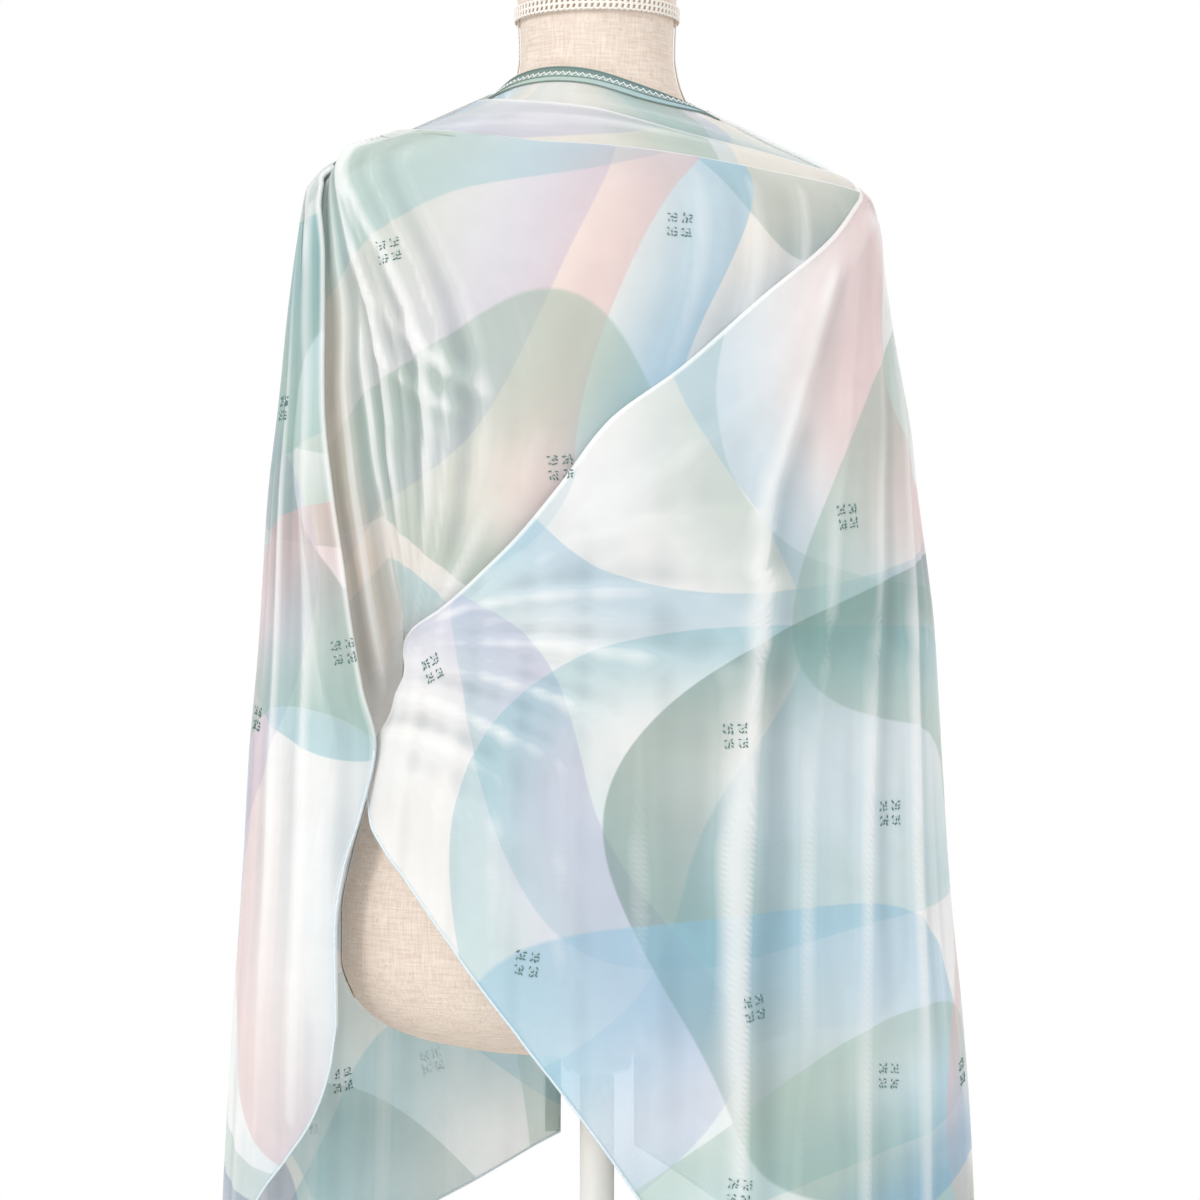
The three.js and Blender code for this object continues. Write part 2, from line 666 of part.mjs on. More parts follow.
// The two falls behind the shoulders, each with the band along its inner edge
function addBackPanel(name, shell, side, column) {
  const rise = curveOf(BACK_EDGE, 'turn', column);
  const hem = curveOf(BACK_HEM, 'turn', column);
  const limits = {
    turns: [side * (180 - SIDE_TURN), side * BACK_TURN],
    heights: [(turn) => rise(Math.abs(turn)), (turn) => hem(Math.abs(turn))],
    rowAt: crowd,
  };
  stretch(`${name}_panel`, shell, 0, limits, 12, 18);
  const surface = shell.lifted(CLOTH / 2 + BAND_LAY + BAND.thick / 2);
  const route = new THREE.CurvePath();
  const inner = BACK_EDGE.slice(1).map((row) => new THREE.Vector3(row.turn, row[column], 0));
  const straight = [620, 400, hem(BACK_TURN)].map((z) => new THREE.Vector3(BACK_TURN, z, 0));
  const start = new THREE.Vector3(BAND_START, rise(BAND_START), 0);
  const points = [start, ...inner, ...straight];
  points.slice(1).forEach((point, i) => route.add(new THREE.LineCurve3(points[i], point)));
  const place = (u, v) => {
    const at = route.getPoint(clamp(u * 0.998 + 0.001, 0, 1));
    const ahead = route.getPoint(clamp(u * 0.998 + 0.004, 0, 1));
    const behind = route.getPoint(clamp(u * 0.998 - 0.002, 0, 1));
    const point = surface(side * at.x, at.y);
    const along = surface(side * ahead.x, ahead.y).sub(surface(side * behind.x, behind.y));
    const inward = along.cross(shell.facing(shell.lifted(0), side * at.x, at.y)).normalize();
    return point.addScaledVector(inward, side * (0.5 + v * BAND.width));
  };
  add(`${name}_band`, 'band', wall(place, 38, 1, BAND.thick));
}

function addNeckBand(edge) {
  const surface = pleats.lifted(LAYER.upper + CLOTH / 2 + BAND_LAY + BAND.thick / 2);
  const place = (u, v) => {
    const turn = lerp(0.4 - SIDE_TURN, SIDE_TURN - 0.4, u);
    return surface(turn, edge(turn) - 0.4 - v * BAND.width * 0.9);
  };
  add('neck_band', 'band', wall(place, 26, 1, BAND.thick));
}

// The left-hand fall in front: from its lip round to the side, down to its slanting hem
function addHangingPanel(lip) {
  const hem = curveOf(FALL_HEM, 'turn', 'z');
  const surface = fall.lifted(0);
  const place = (u, v) => {
    let turn = -SIDE_TURN;
    let z = FALL_TOP;
    for (let pass = 0; pass < 12; pass += 1) {
      z = lerp(FALL_TOP, hem(turn), v);
      turn = lerp(fall.turnAt(lip(z), z), -SIDE_TURN, u);
    }
    return surface(turn, z);
  };
  add('left_hanging_panel', 'crepe', wall(place, 9, 18, CLOTH));
}

// The outer cloth, cut along its fold lines into the stretches that show. Neighbours share
// their row heights, so that their edges run alike.
function addOuterCloth() {
  const left = curveOf(WRAP_EDGE, 'z', 'x');
  const right = curveOf(FRONT_FOLD, 'z', 'x');
  const fan = curveOf(FAN_EDGE, 'z', 'x');
  const waist = FAN_EDGE[0].z;
  const tip = FAN_EDGE.at(-1).z;
  const half = SEAM / 2;
  const surface = wrap.lifted(0);
  const outer = (name, heights, from, to, uSteps) => {
    const heightAt = alongRows(heights);
    const place = (u, v) => {
      const z = heightAt(v);
      return surface(lerp(from(z), to(z), u), z);
    };
    add(name, 'crepe', wall(place, uSteps, heights.length - 1, CLOTH));
  };
  const turnOf = (limit, shift = 0) => (z) => wrap.turnAt(limit(z) + shift, z);
  const upper = rowHeights([[WRAP_TOP, 13], [waist, 1]]);
  const gathers = rowHeights([[waist, 6], [tip, 1]]);
  const lower = rowHeights([[tip, 13], [HEM_LOW + 14, 1]]);
  const side = turnOf(right, half);
  const lowerLeft = (z) => (z > tip ? fan(z) + half : Math.max(left(z), fan(tip) + half));
  outer('front_wrap', [...upper.slice(0, -1), waist + half], turnOf(left), turnOf(right, -half), 13);
  outer('waist_gather', [waist - half, ...gathers.slice(1)], turnOf(left), turnOf(fan, -half), 8);
  const front = [waist - half, ...gathers.slice(1, -1), ...lower];
  outer('front_lower_panel', front, turnOf(lowerLeft), turnOf(right, -half), 12);
  const whole = [...upper.slice(0, -1), ...gathers.slice(0, -1), ...lower, HEM_LOW];
  outer('right_hanging_panel', whole, side, () => SIDE_TURN, 7);
}

addForm();
addSideBraids();
addStand();
const { edge, bridge } = addNeckAndChest();
const lip = addSideStretch(bridge);
addHangingPanel(lip);
addOuterCloth();
addBackPanel('back_left', fall, -1, 'left');
addBackPanel('back_right', wrap, 1, 'right');
addNeckBand(edge);

export default part;
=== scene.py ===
# %% [markdown]
# A sheer crepe shawl on a linen dress form.
# The real shawl is one rectangle of thin printed crepe, about 1.05 m by 2.15 m, with a stitched
# band on one long edge. It is worn front to back: the band crosses the front of the neck, both
# ends fall behind the shoulders, and the middle is drawn to one side of the waist in a deep
# diagonal fold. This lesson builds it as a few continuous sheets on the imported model's form.

# %% Load the frame
import math
import random

import bpy
import numpy as np
from mathutils import Matrix, Vector
from mathutils.bvhtree import BVHTree


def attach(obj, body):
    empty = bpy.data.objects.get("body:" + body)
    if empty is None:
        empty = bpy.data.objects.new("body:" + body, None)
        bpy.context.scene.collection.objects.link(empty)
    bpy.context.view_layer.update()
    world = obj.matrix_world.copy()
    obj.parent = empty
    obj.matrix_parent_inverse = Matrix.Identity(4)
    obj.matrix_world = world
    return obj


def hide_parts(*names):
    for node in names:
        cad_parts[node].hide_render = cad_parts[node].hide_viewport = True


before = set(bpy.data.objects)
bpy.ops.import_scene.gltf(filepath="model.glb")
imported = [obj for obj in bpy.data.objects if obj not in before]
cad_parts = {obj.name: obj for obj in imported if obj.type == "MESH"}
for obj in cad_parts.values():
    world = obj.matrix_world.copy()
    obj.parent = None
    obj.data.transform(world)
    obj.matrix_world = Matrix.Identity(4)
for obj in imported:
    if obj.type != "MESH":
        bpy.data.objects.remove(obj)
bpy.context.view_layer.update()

print("nodes in the frame:", len(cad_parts))

# %% [markdown]
# Every length in the tables is in millimetres, as a cutter would note it, and each mesh is
# turned to metres as it is made. The tables are level sections: how far the cloth or the form
# stands out to the left, right, front and back at each height.

# %% Sizes
MM = 0.001
CREPE = 0.5  # what one visible thickness of crepe is given
BAND_WIDTH = 11
PLEAT_OUT = {"upper": -4.5, "second": 0, "chest": 4.8}  # how far each front layer stands out
TUCK = 9  # what a pleat hides under the next one
FOLD_SCALE = 3.0  # millimetres of cloth for each degree around the figure
BACK_TURN = 174  # degrees from the front to the shawl's inner edges behind
LOW_HEM = 64
FORM_BOTTOM = 265
FORM_TOP = 1000


def rows_of(names, rows):
    """A table as one array for each named column."""
    return {name: np.array(column, float) for name, column in zip(names.split(), zip(*rows))}


# %% The dress form's sections
FORM = rows_of("z half front back", [
    (1000, 56, 56, 56), (985, 54, 54, 54), (960, 53, 52, 54), (945, 55, 53, 57),
    (932, 59, 56, 62), (920, 66, 60, 67), (910, 80, 65, 72), (900, 97, 70, 77),
    (890, 116, 75, 81), (880, 135, 79, 85), (870, 151, 84, 89), (860, 163, 89, 92),
    (848, 171, 94, 95), (825, 175, 100, 99), (800, 175, 105, 101), (760, 170, 111, 102),
    (715, 166, 115, 100), (680, 161, 112, 96), (640, 151, 105, 90), (600, 140, 96, 85),
    (565, 134, 90, 83), (535, 134, 89, 86), (500, 141, 92, 95), (450, 157, 100, 109),
    (400, 171, 108, 118), (360, 178, 111, 121), (330, 178, 110, 120), (305, 170, 104, 114),
    (288, 154, 94, 102), (276, 128, 78, 84), (268, 90, 55, 60),
])

# %% The cloth's sections
SECTION = "z left right front back"
SHOULDERS = [
    (960, 62, 61, 60, 62), (946, 65, 62, 62, 65), (938, 70, 64, 64, 68), (930, 80, 68, 67, 71),
    (920, 97, 82, 71, 77), (910, 117, 104, 76, 83), (900, 145, 124, 81, 88),
    (890, 171, 146, 86, 92),
]
CHEST = rows_of(SECTION, SHOULDERS + [
    (880, 188, 166, 91, 97), (870, 194, 179, 96, 101), (860, 196, 185, 100, 104),
    (848, 196, 188, 105, 107), (825, 194, 189, 111, 111), (800, 190, 188, 116, 113),
    (760, 183, 182, 121, 114), (715, 176, 178, 126, 112), (680, 171, 172, 124, 108),
    (640, 161, 162, 117, 102), (600, 150, 150, 108, 97), (565, 144, 144, 102, 95),
    (535, 144, 144, 100, 98), (500, 151, 151, 102, 106), (450, 166, 166, 110, 120),
])
WRAP = rows_of(SECTION, SHOULDERS + [
    (880, 188, 166, 96, 97), (870, 194, 180, 104, 101), (863, 195, 188, 109, 104),
    (857, 196, 193, 112, 107), (845, 196, 196, 116, 110), (811, 196, 199, 122, 114),
    (780, 194, 204, 127, 116), (733, 190, 213, 132, 118), (700, 186, 219, 135, 119),
    (653, 176, 224, 134, 120), (600, 160, 231, 128, 121), (565, 156, 235, 123, 122),
    (535, 158, 237, 122, 123), (500, 166, 239, 124, 125), (450, 180, 242, 127, 128),
    (400, 188, 245, 130, 131), (350, 192, 249, 132, 133), (300, 194, 254, 133, 135),
    (209, 195, 261, 136, 137), (160, 195, 263, 138, 138), (50, 196, 267, 141, 140),
])
FALL = rows_of(SECTION, SHOULDERS + [
    (880, 192, 166, 100, 97), (870, 200, 179, 107, 101), (860, 204, 185, 110, 105),
    (790, 215, 190, 111, 115), (720, 222, 190, 110, 118), (650, 230, 190, 105, 120),
    (545, 237, 190, 95, 123), (475, 243, 190, 92, 126), (400, 247, 190, 98, 131),
    (300, 254, 190, 109, 135), (223, 258, 190, 112, 137), (160, 261, 190, 113, 138),
    (50, 265, 190, 115, 140),
])

# %% [markdown]
# The edges of the cloth are curves too. Around the neck they are heights by degrees turned from
# the front, with left negative. The diagonal fold, the lip of the left fall and the pleated run
# between them are places across the front, by height.

# %% The edges of the cloth
NECKLINE = rows_of("turn edge upper lower", [
    (-90, 938, 928, 903), (-60, 944, 925, 899), (-30, 946, 920, 893), (-10, 944, 916, 886),
    (0, 942, 913, 884), (15, 937, 905, 879), (30, 932, 895, 872), (45, 928, 886, 866),
    (60, 925, 877, 862), (90, 923, 871, 857),
])
BACK_EDGE = rows_of("turn left right", [
    (90, 938, 923), (120, 930, 919), (135, 925, 914), (150, 913, 905), (160, 902, 894),
    (168, 880, 876), (174, 850, 850),
])
BACK_HEM = rows_of("turn left right", [
    (80, 96, LOW_HEM), (120, 104, 74), (150, 132, 112), (174, 186, 176),
])
WRAP_EDGE = rows_of("z x", [
    (857, 184), (827, 163), (781, 111), (733, 57), (697, 9), (653, -25), (621, -52),
    (593, -81), (572, -105), (560, -123), (550, -129), (535, -126), (515, -134), (480, -150),
    (447, -156), (430, -154), (411, -143), (389, -126), (332, -84), (290, -51), (222, 2),
    (185, 28), (100, 88), (LOW_HEM, 113),
])
LEFT_SIDE = rows_of("z bridge lip", [
    (890, -163, -168), (870, -172, -190), (812, -160, -187), (713, -149, -186),
    (650, -141, -181), (600, -134, -174), (556, -128, -168), (519, -128, -161),
    (481, -141, -151), (437, -150, -160), (394, -150, -173), (355, -150, -178),
    (297, -150, -177),
])
FALL_TOP = rows_of("turn z", [(60, 872), (75, 883), (84, 892), (90, 938)])
FALL_HEM = rows_of("turn z", [
    (90, 92), (80, 108), (70, 138), (62, 172), (54, 202), (48, 232), (45, 262), (44, 292),
])
CHEST_END = rows_of("turn z", [
    (-90, 520), (-60, 530), (-30, 545), (0, 560), (45, 575), (90, 590),
])

# %% [markdown]
# Folds are placed one by one. Each one runs through three points, seen from the front or from
# behind, with its height and the widths of its two flanks. A cloth simulation would find folds of
# its own, but not these ones, so a table gives more likeness and the same result each time.

# %% The folds
FOLD = "x0 z0 x1 z1 x2 z2 high left right behind"
PLEAT_FOLDS = rows_of(FOLD, [
    (-150, 908, -20, 906, 110, 884, 2.2, 7, 4, 0),
    (-120, 900, 20, 898, 150, 872, 1.8, 6, 4, 0),
    (-60, 934, 20, 930, 96, 912, 1.6, 6, 3, 0),
    (-20, 922, 60, 908, 140, 884, 1.8, 6, 4, 0),
    (-170, 896, -80, 902, 10, 892, 1.6, 7, 4, 0),
])
CHEST_FOLDS = rows_of(FOLD, [
    (-184, 876, -160, 745, -133, 560, 6, 12, 5, 0),
    (-178, 880, -152, 742, -128, 560, 4, 6, 4, 0),
    (-172, 882, -140, 742, -125, 560, 7, 12, 5, 0),
    (-166, 884, -126, 738, -121, 560, 4, 7, 4, 0),
    (-158, 888, -112, 735, -118, 562, 8, 18, 6, 0),
    (-148, 884, -96, 724, -114, 562, 3, 8, 4, 0),
    (-128, 880, -72, 705, -108, 566, 4, 28, 9, 0),
    (-100, 872, -40, 690, -100, 568, 1.8, 26, 10, 0),
    (-150, 790, -110, 745, -68, 716, 2.5, 9, 5, 0),
    (-146, 752, -118, 722, -84, 705, 2.0, 7, 4, 0),
    (60, 872, 66, 800, 40, 720, 2.4, 22, 9, 0),
    (96, 868, 104, 800, 84, 742, 3.0, 18, 8, 0),
    (130, 866, 136, 810, 122, 776, 2.6, 12, 7, 0),
    (20, 872, 10, 760, -60, 650, 1.6, 34, 14, 0),
    (-70, 640, -90, 600, -110, 560, 2.5, 12, 6, 0),
])
WRAP_FOLDS = rows_of(FOLD, [
    (-124, 556, -60, 580, 60, 586, 5, 6, 16, 0),
    (-124, 550, -64, 566, 30, 566, 3, 5, 9, 0),
    (-124, 545, -50, 552, 50, 540, 5, 6, 14, 0),
    (-125, 538, -74, 540, 10, 524, 3, 5, 9, 0),
    (-125, 532, -70, 528, 0, 504, 5, 6, 13, 0),
    (-130, 522, -90, 516, -20, 492, 3, 5, 9, 0),
    (-136, 514, -95, 506, -30, 476, 5, 6, 14, 0),
    (-148, 488, -112, 486, -66, 462, 4, 6, 13, 0),
    (-150, 470, -90, 440, 20, 380, 2.5, 14, 26, 0),
    (-110, 556, -30, 610, 90, 640, 2.6, 8, 22, 0),
    (-60, 600, 30, 660, 110, 720, 2.4, 10, 26, 0),
    (176, 846, 110, 720, 10, 640, 3.0, 12, 26, 0),
    (180, 846, 130, 690, 62, 560, 2.6, 12, 24, 0),
    (112, 590, 95, 400, 92, 64, 10, 10, 26, 0),
    (166, 836, 124, 690, 112, 590, 6, 7, 20, 0),
    (180, 845, 152, 560, 132, 64, 4, 10, 22, 0),
    (184, 842, 168, 560, 152, 64, 2, 9, 14, 0),
    (187, 840, 186, 540, 176, 64, 6, 8, 24, 0),
    (190, 836, 202, 540, 200, 64, 2, 8, 12, 0),
    (191, 832, 214, 520, 222, 64, 7, 9, 18, 0),
    (192, 826, 226, 500, 240, 64, 3, 8, 12, 0),
    (40, 500, 30, 330, 60, 150, 1.8, 20, 34, 0),
    (-90, 420, -10, 330, 60, 250, 2.0, 14, 30, 0),
    (0, 440, 60, 330, 84, 160, 1.6, 18, 26, 0),
    (176, 850, 196, 520, 200, 70, 8, 18, 24, 1),
    (156, 850, 168, 520, 166, 80, 2.5, 12, 14, 1),
    (130, 850, 134, 520, 126, 90, 6, 22, 14, 1),
    (104, 860, 106, 520, 100, 100, 3, 10, 20, 1),
    (70, 850, 76, 500, 70, 130, 7, 24, 20, 1),
    (44, 860, 48, 500, 44, 150, 2, 12, 12, 1),
])
FALL_FOLDS = rows_of(FOLD, [
    (-196, 864, -214, 600, -236, 110, 7, 14, 9, 0),
    (-194, 850, -204, 600, -222, 170, 2.5, 9, 6, 0),
    (-192, 850, -196, 600, -208, 230, 6, 11, 8, 0),
    (-190, 846, -188, 620, -192, 300, 2, 8, 6, 0),
    (-199, 860, -226, 560, -250, 110, 3, 10, 8, 0),
    (-196, 862, -224, 540, -240, 110, 4, 12, 14, 1),
    (-182, 850, -204, 540, -214, 110, 8, 18, 22, 1),
    (-160, 856, -176, 540, -180, 120, 2.5, 10, 14, 1),
    (-140, 850, -150, 520, -150, 120, 7, 16, 26, 1),
    (-112, 860, -120, 520, -118, 130, 2.5, 10, 14, 1),
    (-84, 850, -92, 500, -88, 140, 6, 24, 18, 1),
    (-54, 860, -60, 500, -58, 160, 2.5, 9, 14, 1),
])

# %% [markdown]
# A smooth curve is read through each column. It never overshoots its table, so a hem or a
# neckline can't swing past the sizes that were noted down.

# %% Curves through a table


def curve_of(rows, key, column):
    order = np.argsort(rows[key])
    at_rows = rows[key][order]
    value = rows[column][order]
    slope = np.diff(value) / np.diff(at_rows)
    before = np.concatenate([slope[:1], slope])
    after = np.concatenate([slope, slope[-1:]])
    same_way = before * after > 0
    tangent = np.where(same_way, 2 * before * after / np.where(same_way, before + after, 1), 0)

    def read(at):
        q = np.clip(at, at_rows[0], at_rows[-1])
        i = np.clip(np.searchsorted(at_rows, q, side="right") - 1, 0, len(at_rows) - 2)
        span = at_rows[i + 1] - at_rows[i]
        s = (q - at_rows[i]) / span
        rise = value[i + 1] - value[i]
        a = tangent[i] * span
        b = tangent[i + 1] * span
        return value[i] + a * s + (3 * rise - 2 * a - b) * s**2 + (a + b - 2 * rise) * s**3

    return read


def ease(low, high, at):
    """0 before low and 1 after high, with a soft start and end."""
    s = np.clip((at - low) / (high - low), 0, 1)
    return s * s * (3 - 2 * s)


def unit(vectors):
    length = np.linalg.norm(vectors, axis=-1, keepdims=True)
    return vectors / np.maximum(length, 1e-9)


# %% [markdown]
# A shell is a ring like an ellipse at every height, which each fold lifts along the way the
# surface faces. A place on it is given by its turn from the front and its height.

# %% Shells and folds


class Shell:
    def __init__(self, sections, folds=None, ripple=0.0):
        self.ring = {side: curve_of(sections, "z", side) for side in ("left", "right", "front", "back")}
        self.ripple = ripple
        self.folds = []
        count = 0 if folds is None else len(folds["high"])
        for row in range(count):
            fold = {name: column[row] for name, column in folds.items()}
            self.folds.append((fold, self.path(fold)))

    def turn_at(self, x, z):
        half = np.where(x < 0, self.ring["left"](z), self.ring["right"](z))
        return np.degrees(np.arcsin(np.clip(x / half, -1, 1)))

    def path(self, fold):
        points = []
        for k in range(3):
            x, z = fold[f"x{k}"], fold[f"z{k}"]
            turn = float(self.turn_at(x, z))
            points.append(np.array([np.sign(x) * 180 - turn if fold["behind"] else turn, z]))
        bend = 2 * points[1] - (points[0] + points[2]) / 2
        t = np.linspace(0, 1, 9)[:, None]
        return (1 - t)**2 * points[0] + 2 * t * (1 - t) * bend + t**2 * points[2]

    def bare(self, turn, z):
        across = np.sin(np.radians(turn))
        along = np.cos(np.radians(turn))
        x = across * np.where(across < 0, self.ring["left"](z), self.ring["right"](z))
        y = -along * np.where(along > 0, self.ring["front"](z), self.ring["back"](z))
        return np.stack([x, y, z + 0 * x], axis=-1)

    def facing(self, turn, z):
        around = self.bare(turn + 0.4, z) - self.bare(turn - 0.4, z)
        down = self.bare(turn, z - 1.5) - self.bare(turn, z + 1.5)
        return unit(np.cross(down, around))

    def lift(self, turn, z):
        total = np.zeros(np.broadcast(turn, z).shape)
        for fold, path in self.folds:
            nearest = np.full(total.shape, np.inf)
            lift = np.zeros(total.shape)
            last = len(path) - 1
            for i in range(last):
                run_x = (path[i + 1, 0] - path[i, 0]) * FOLD_SCALE
                run_z = path[i + 1, 1] - path[i, 1]
                off_x = (turn - path[i, 0]) * FOLD_SCALE
                off_z = z - path[i, 1]
                share = np.clip((off_x * run_x + off_z * run_z) / (run_x**2 + run_z**2), 0, 1)
                away = np.hypot(off_x - share * run_x, off_z - share * run_z)
                flank = np.where(run_x * off_z - run_z * off_x > 0, fold["left"], fold["right"])
                fade = np.sin(np.pi * np.clip((i + share) / last * 0.9 + 0.08, 0, 1)) ** 0.5
                here = fold["high"] * fade * np.exp(-((away / flank) ** 1.6))
                closer = away < nearest
                lift = np.where(closer, here, lift)
                nearest = np.where(closer, away, nearest)
            total = total + lift
        drift = 1.3 * np.sin(z * 0.011) + turn * 0.02
        waves = np.sin(turn * 0.42 + drift) + 0.6 * np.sin(turn * 0.93 - 0.7 * drift + 1.0)
        return total + self.ripple * waves * ease(860, 420, z)

    def at(self, turn, z, out=0.0, calm=1.0):
        turn, z = np.broadcast_arrays(np.asarray(turn, float), np.asarray(z, float))
        lift = self.lift(turn, z) * calm + out
        return self.bare(turn, z) + self.facing(turn, z) * lift[..., None]

    def flat(self, turn, z, across=0.0, down=0.0):
        """Where a place lies on the cloth laid flat, in metres across and down."""
        heights = np.arange(960.0, 48.0, -2.0)
        reach = (self.ring["left"](heights) + 2 * self.ring["front"](heights)) / 3
        steps = np.hypot(np.diff(heights), np.diff(reach))
        length = np.concatenate([[0], np.cumsum(steps)])
        turn, z = np.broadcast_arrays(np.asarray(turn, float), np.asarray(z, float))
        laid = np.interp(-z, -heights, length)
        return np.stack([turn * FOLD_SCALE * MM + across, laid * MM + down], axis=-1)


chest_shell = Shell(CHEST, CHEST_FOLDS)
pleat_shell = Shell(CHEST, PLEAT_FOLDS)
wrap_shell = Shell(WRAP, WRAP_FOLDS, ripple=0.45)
fall_shell = Shell(FALL, FALL_FOLDS, ripple=0.6)
form_shell = Shell({"z": FORM["z"], "left": FORM["half"], "right": FORM["half"],
                    "front": FORM["front"], "back": FORM["back"]})
print("folds:", sum(len(shell.folds) for shell in (chest_shell, pleat_shell, wrap_shell, fall_shell)))

# %% [markdown]
# A finish is easier to judge under the light it will be seen in, so the camera, the floor and
# the lamps come next. Light that is soft and comes from everywhere suits a sheer cloth.

# %% Camera, floor and light
EYE = Vector((0.0021, -2.3, 0.58))
VIEW_WIDTH = 0.84
scene = bpy.context.scene
scene.view_settings.view_transform = "Standard"
scene.cycles.transparent_max_bounces = 32


def srgb(red, green, blue):
    """A colour from its values out of 255, as the shader wants it."""
    def linear(value):
        value = value / 255
        return value / 12.92 if value <= 0.04045 else ((value + 0.055) / 1.055) ** 2.4
    return (linear(red), linear(green), linear(blue), 1.0)


def put(name, data):
    """A new object in the scene, at the origin, from its mesh, lamp or camera."""
    placed = bpy.data.objects.new(name, data)
    scene.collection.objects.link(placed)
    return placed


def soft_lamp(name, place, size, power):
    lamp = bpy.data.lights.new(name, "AREA")
    lamp.shape = "DISK"
    lamp.size = size
    lamp.energy = power
    lamp_object = put(name, lamp)
    lamp_object.location = place
    towards = Vector((0, 0, 0.6)) - Vector(place)
    lamp_object.rotation_euler = towards.to_track_quat("-Z", "Y").to_euler()


camera_data = bpy.data.cameras.new("camera")
camera_data.angle = 2 * math.atan(VIEW_WIDTH / 2 / -EYE.y)
camera = put("camera", camera_data)
camera.location = EYE
camera.rotation_euler = (math.radians(90), 0, 0)
scene.camera = camera
soft_lamp("key_lamp", (-1.5, -1.9, 2.0), 1.0, 30)
soft_lamp("fill_lamp", (1.9, -1.6, 1.1), 1.6, 8)
soft_lamp("rim_lamp", (0.9, 1.9, 1.9), 1.2, 16)

# %% The sky lights the cloth, and the camera sees plain white paper
world = bpy.data.worlds.new("studio")
world.use_nodes = True
scene.world = world
join = world.node_tree.links.new
sky = world.node_tree.nodes["Background"]
paper_white = world.node_tree.nodes.new("ShaderNodeBackground")
light_path = world.node_tree.nodes.new("ShaderNodeLightPath")
sky_mix = world.node_tree.nodes.new("ShaderNodeMixShader")
sky.inputs["Color"].default_value = (0.98, 0.985, 1.0, 1)
sky.inputs["Strength"].default_value = 0.90
paper_white.inputs["Color"].default_value = (1, 1, 1, 1)
paper_white.inputs["Strength"].default_value = 1.0
join(light_path.outputs["Is Camera Ray"], sky_mix.inputs["Fac"])
join(sky.outputs[0], sky_mix.inputs[1])
join(paper_white.outputs[0], sky_mix.inputs[2])
join(sky_mix.outputs[0], world.node_tree.nodes["World Output"].inputs["Surface"])
print("lamps:", len(bpy.data.lights))

# %% [markdown]
# Each material is a small tree of nodes. A helper adds a node, sets its values and joins what
# feeds it, so that a material reads as a short list of what happens to the colour.

# %% Helpers for materials


def add_node(tree, kind, settings=None, **inputs):
    node = tree.nodes.new(kind)
    for name, value in (settings or {}).items():
        setattr(node, name, value)
    for name, value in inputs.items():
        key = int(name[2:]) if name.startswith("in") and name[2:].isdigit() else name.replace("_", " ")
        socket = node.inputs[key]
        if isinstance(value, bpy.types.NodeSocket):
            tree.links.new(value, socket)
        else:
            socket.default_value = value
    return node


def new_material(name):
    material = bpy.data.materials.new(name)
    material.use_nodes = True
    tree = material.node_tree
    return material, tree, tree.nodes["Principled BSDF"]


def new_group(name, inputs, outputs):
    tree = bpy.data.node_groups.new(name, "ShaderNodeTree")
    for label, kind, value in inputs:
        socket = tree.interface.new_socket(label, in_out="INPUT", socket_type=f"NodeSocket{kind}")
        socket.default_value = value
    for label, kind in outputs:
        tree.interface.new_socket(label, in_out="OUTPUT", socket_type=f"NodeSocket{kind}")
    return tree, tree.nodes.new("NodeGroupInput").outputs, tree.nodes.new("NodeGroupOutput").inputs


def math_node(tree, operation, *values):
    node = tree.nodes.new("ShaderNodeMath")
    node.operation = operation
    for index, value in enumerate(values):
        if isinstance(value, bpy.types.NodeSocket):
            tree.links.new(value, node.inputs[index])
        else:
            node.inputs[index].default_value = value
    return node.outputs[0]


def ramp(tree, value, low, high, to_low=0.0, to_high=1.0, shape="LINEAR"):
    """Turns a value from one span into another, and stops at its ends."""
    node = add_node(tree, "ShaderNodeMapRange", {"interpolation_type": shape}, Value=value,
                    From_Min=low, From_Max=high, To_Min=to_low, To_Max=to_high)
    return node.outputs[0]


def mixed(tree, share, first, second, blend="MIX"):
    """The colour between two others, which are plain colours or the outputs of nodes."""
    node = add_node(tree, "ShaderNodeMix", {"data_type": "RGBA", "blend_type": blend},
                    in0=share, in6=first, in7=second)
    return node.outputs[2]


def bump(tree, height, distance=0.0002, strength=1.0):
    node = add_node(tree, "ShaderNodeBump", Height=height, Distance=distance, Strength=strength)
    return node.outputs[0]


def dress(tree, shader, colour, roughness, normal):
    """Gives a shader its colour, its roughness and its normal."""
    for name, value in (("Base Color", colour), ("Roughness", roughness), ("Normal", normal)):
        if isinstance(value, bpy.types.NodeSocket):
            tree.links.new(value, shader.inputs[name])
        else:
            shader.inputs[name].default_value = value


# %% [markdown]
# The print is made of washes: wide petals of colour that stop at one clean edge and fade away
# from it. The layout is a plain one, made for this lesson. One node group makes a petal from
# its centre, its radius and how far it fades.

# %% The group that makes one wash
wash_group, wash_in, wash_out = new_group(
    "soft_wash",
    [("Vector", "Vector", (0, 0, 0)), ("Centre", "Vector", (0, 0, 0)), ("Radius", "Float", 0.2),
     ("Fade", "Float", 0.1), ("Side", "Float", 1.0), ("Edge", "Float", 0.0015)],
    [("Mask", "Float")],
)
gap = add_node(wash_group, "ShaderNodeVectorMath", {"operation": "DISTANCE"})
wash_group.links.new(wash_in["Vector"], gap.inputs[0])
wash_group.links.new(wash_in["Centre"], gap.inputs[1])
past_edge = math_node(wash_group, "SUBTRACT", wash_in["Radius"], gap.outputs["Value"])
past_edge = math_node(wash_group, "MULTIPLY", past_edge, wash_in["Side"])
crisp = ramp(wash_group, past_edge, 0.0, wash_in["Edge"], shape="SMOOTHSTEP")
fading = ramp(wash_group, past_edge, 0.0, wash_in["Fade"], 1.0, 0.0, "SMOOTHERSTEP")
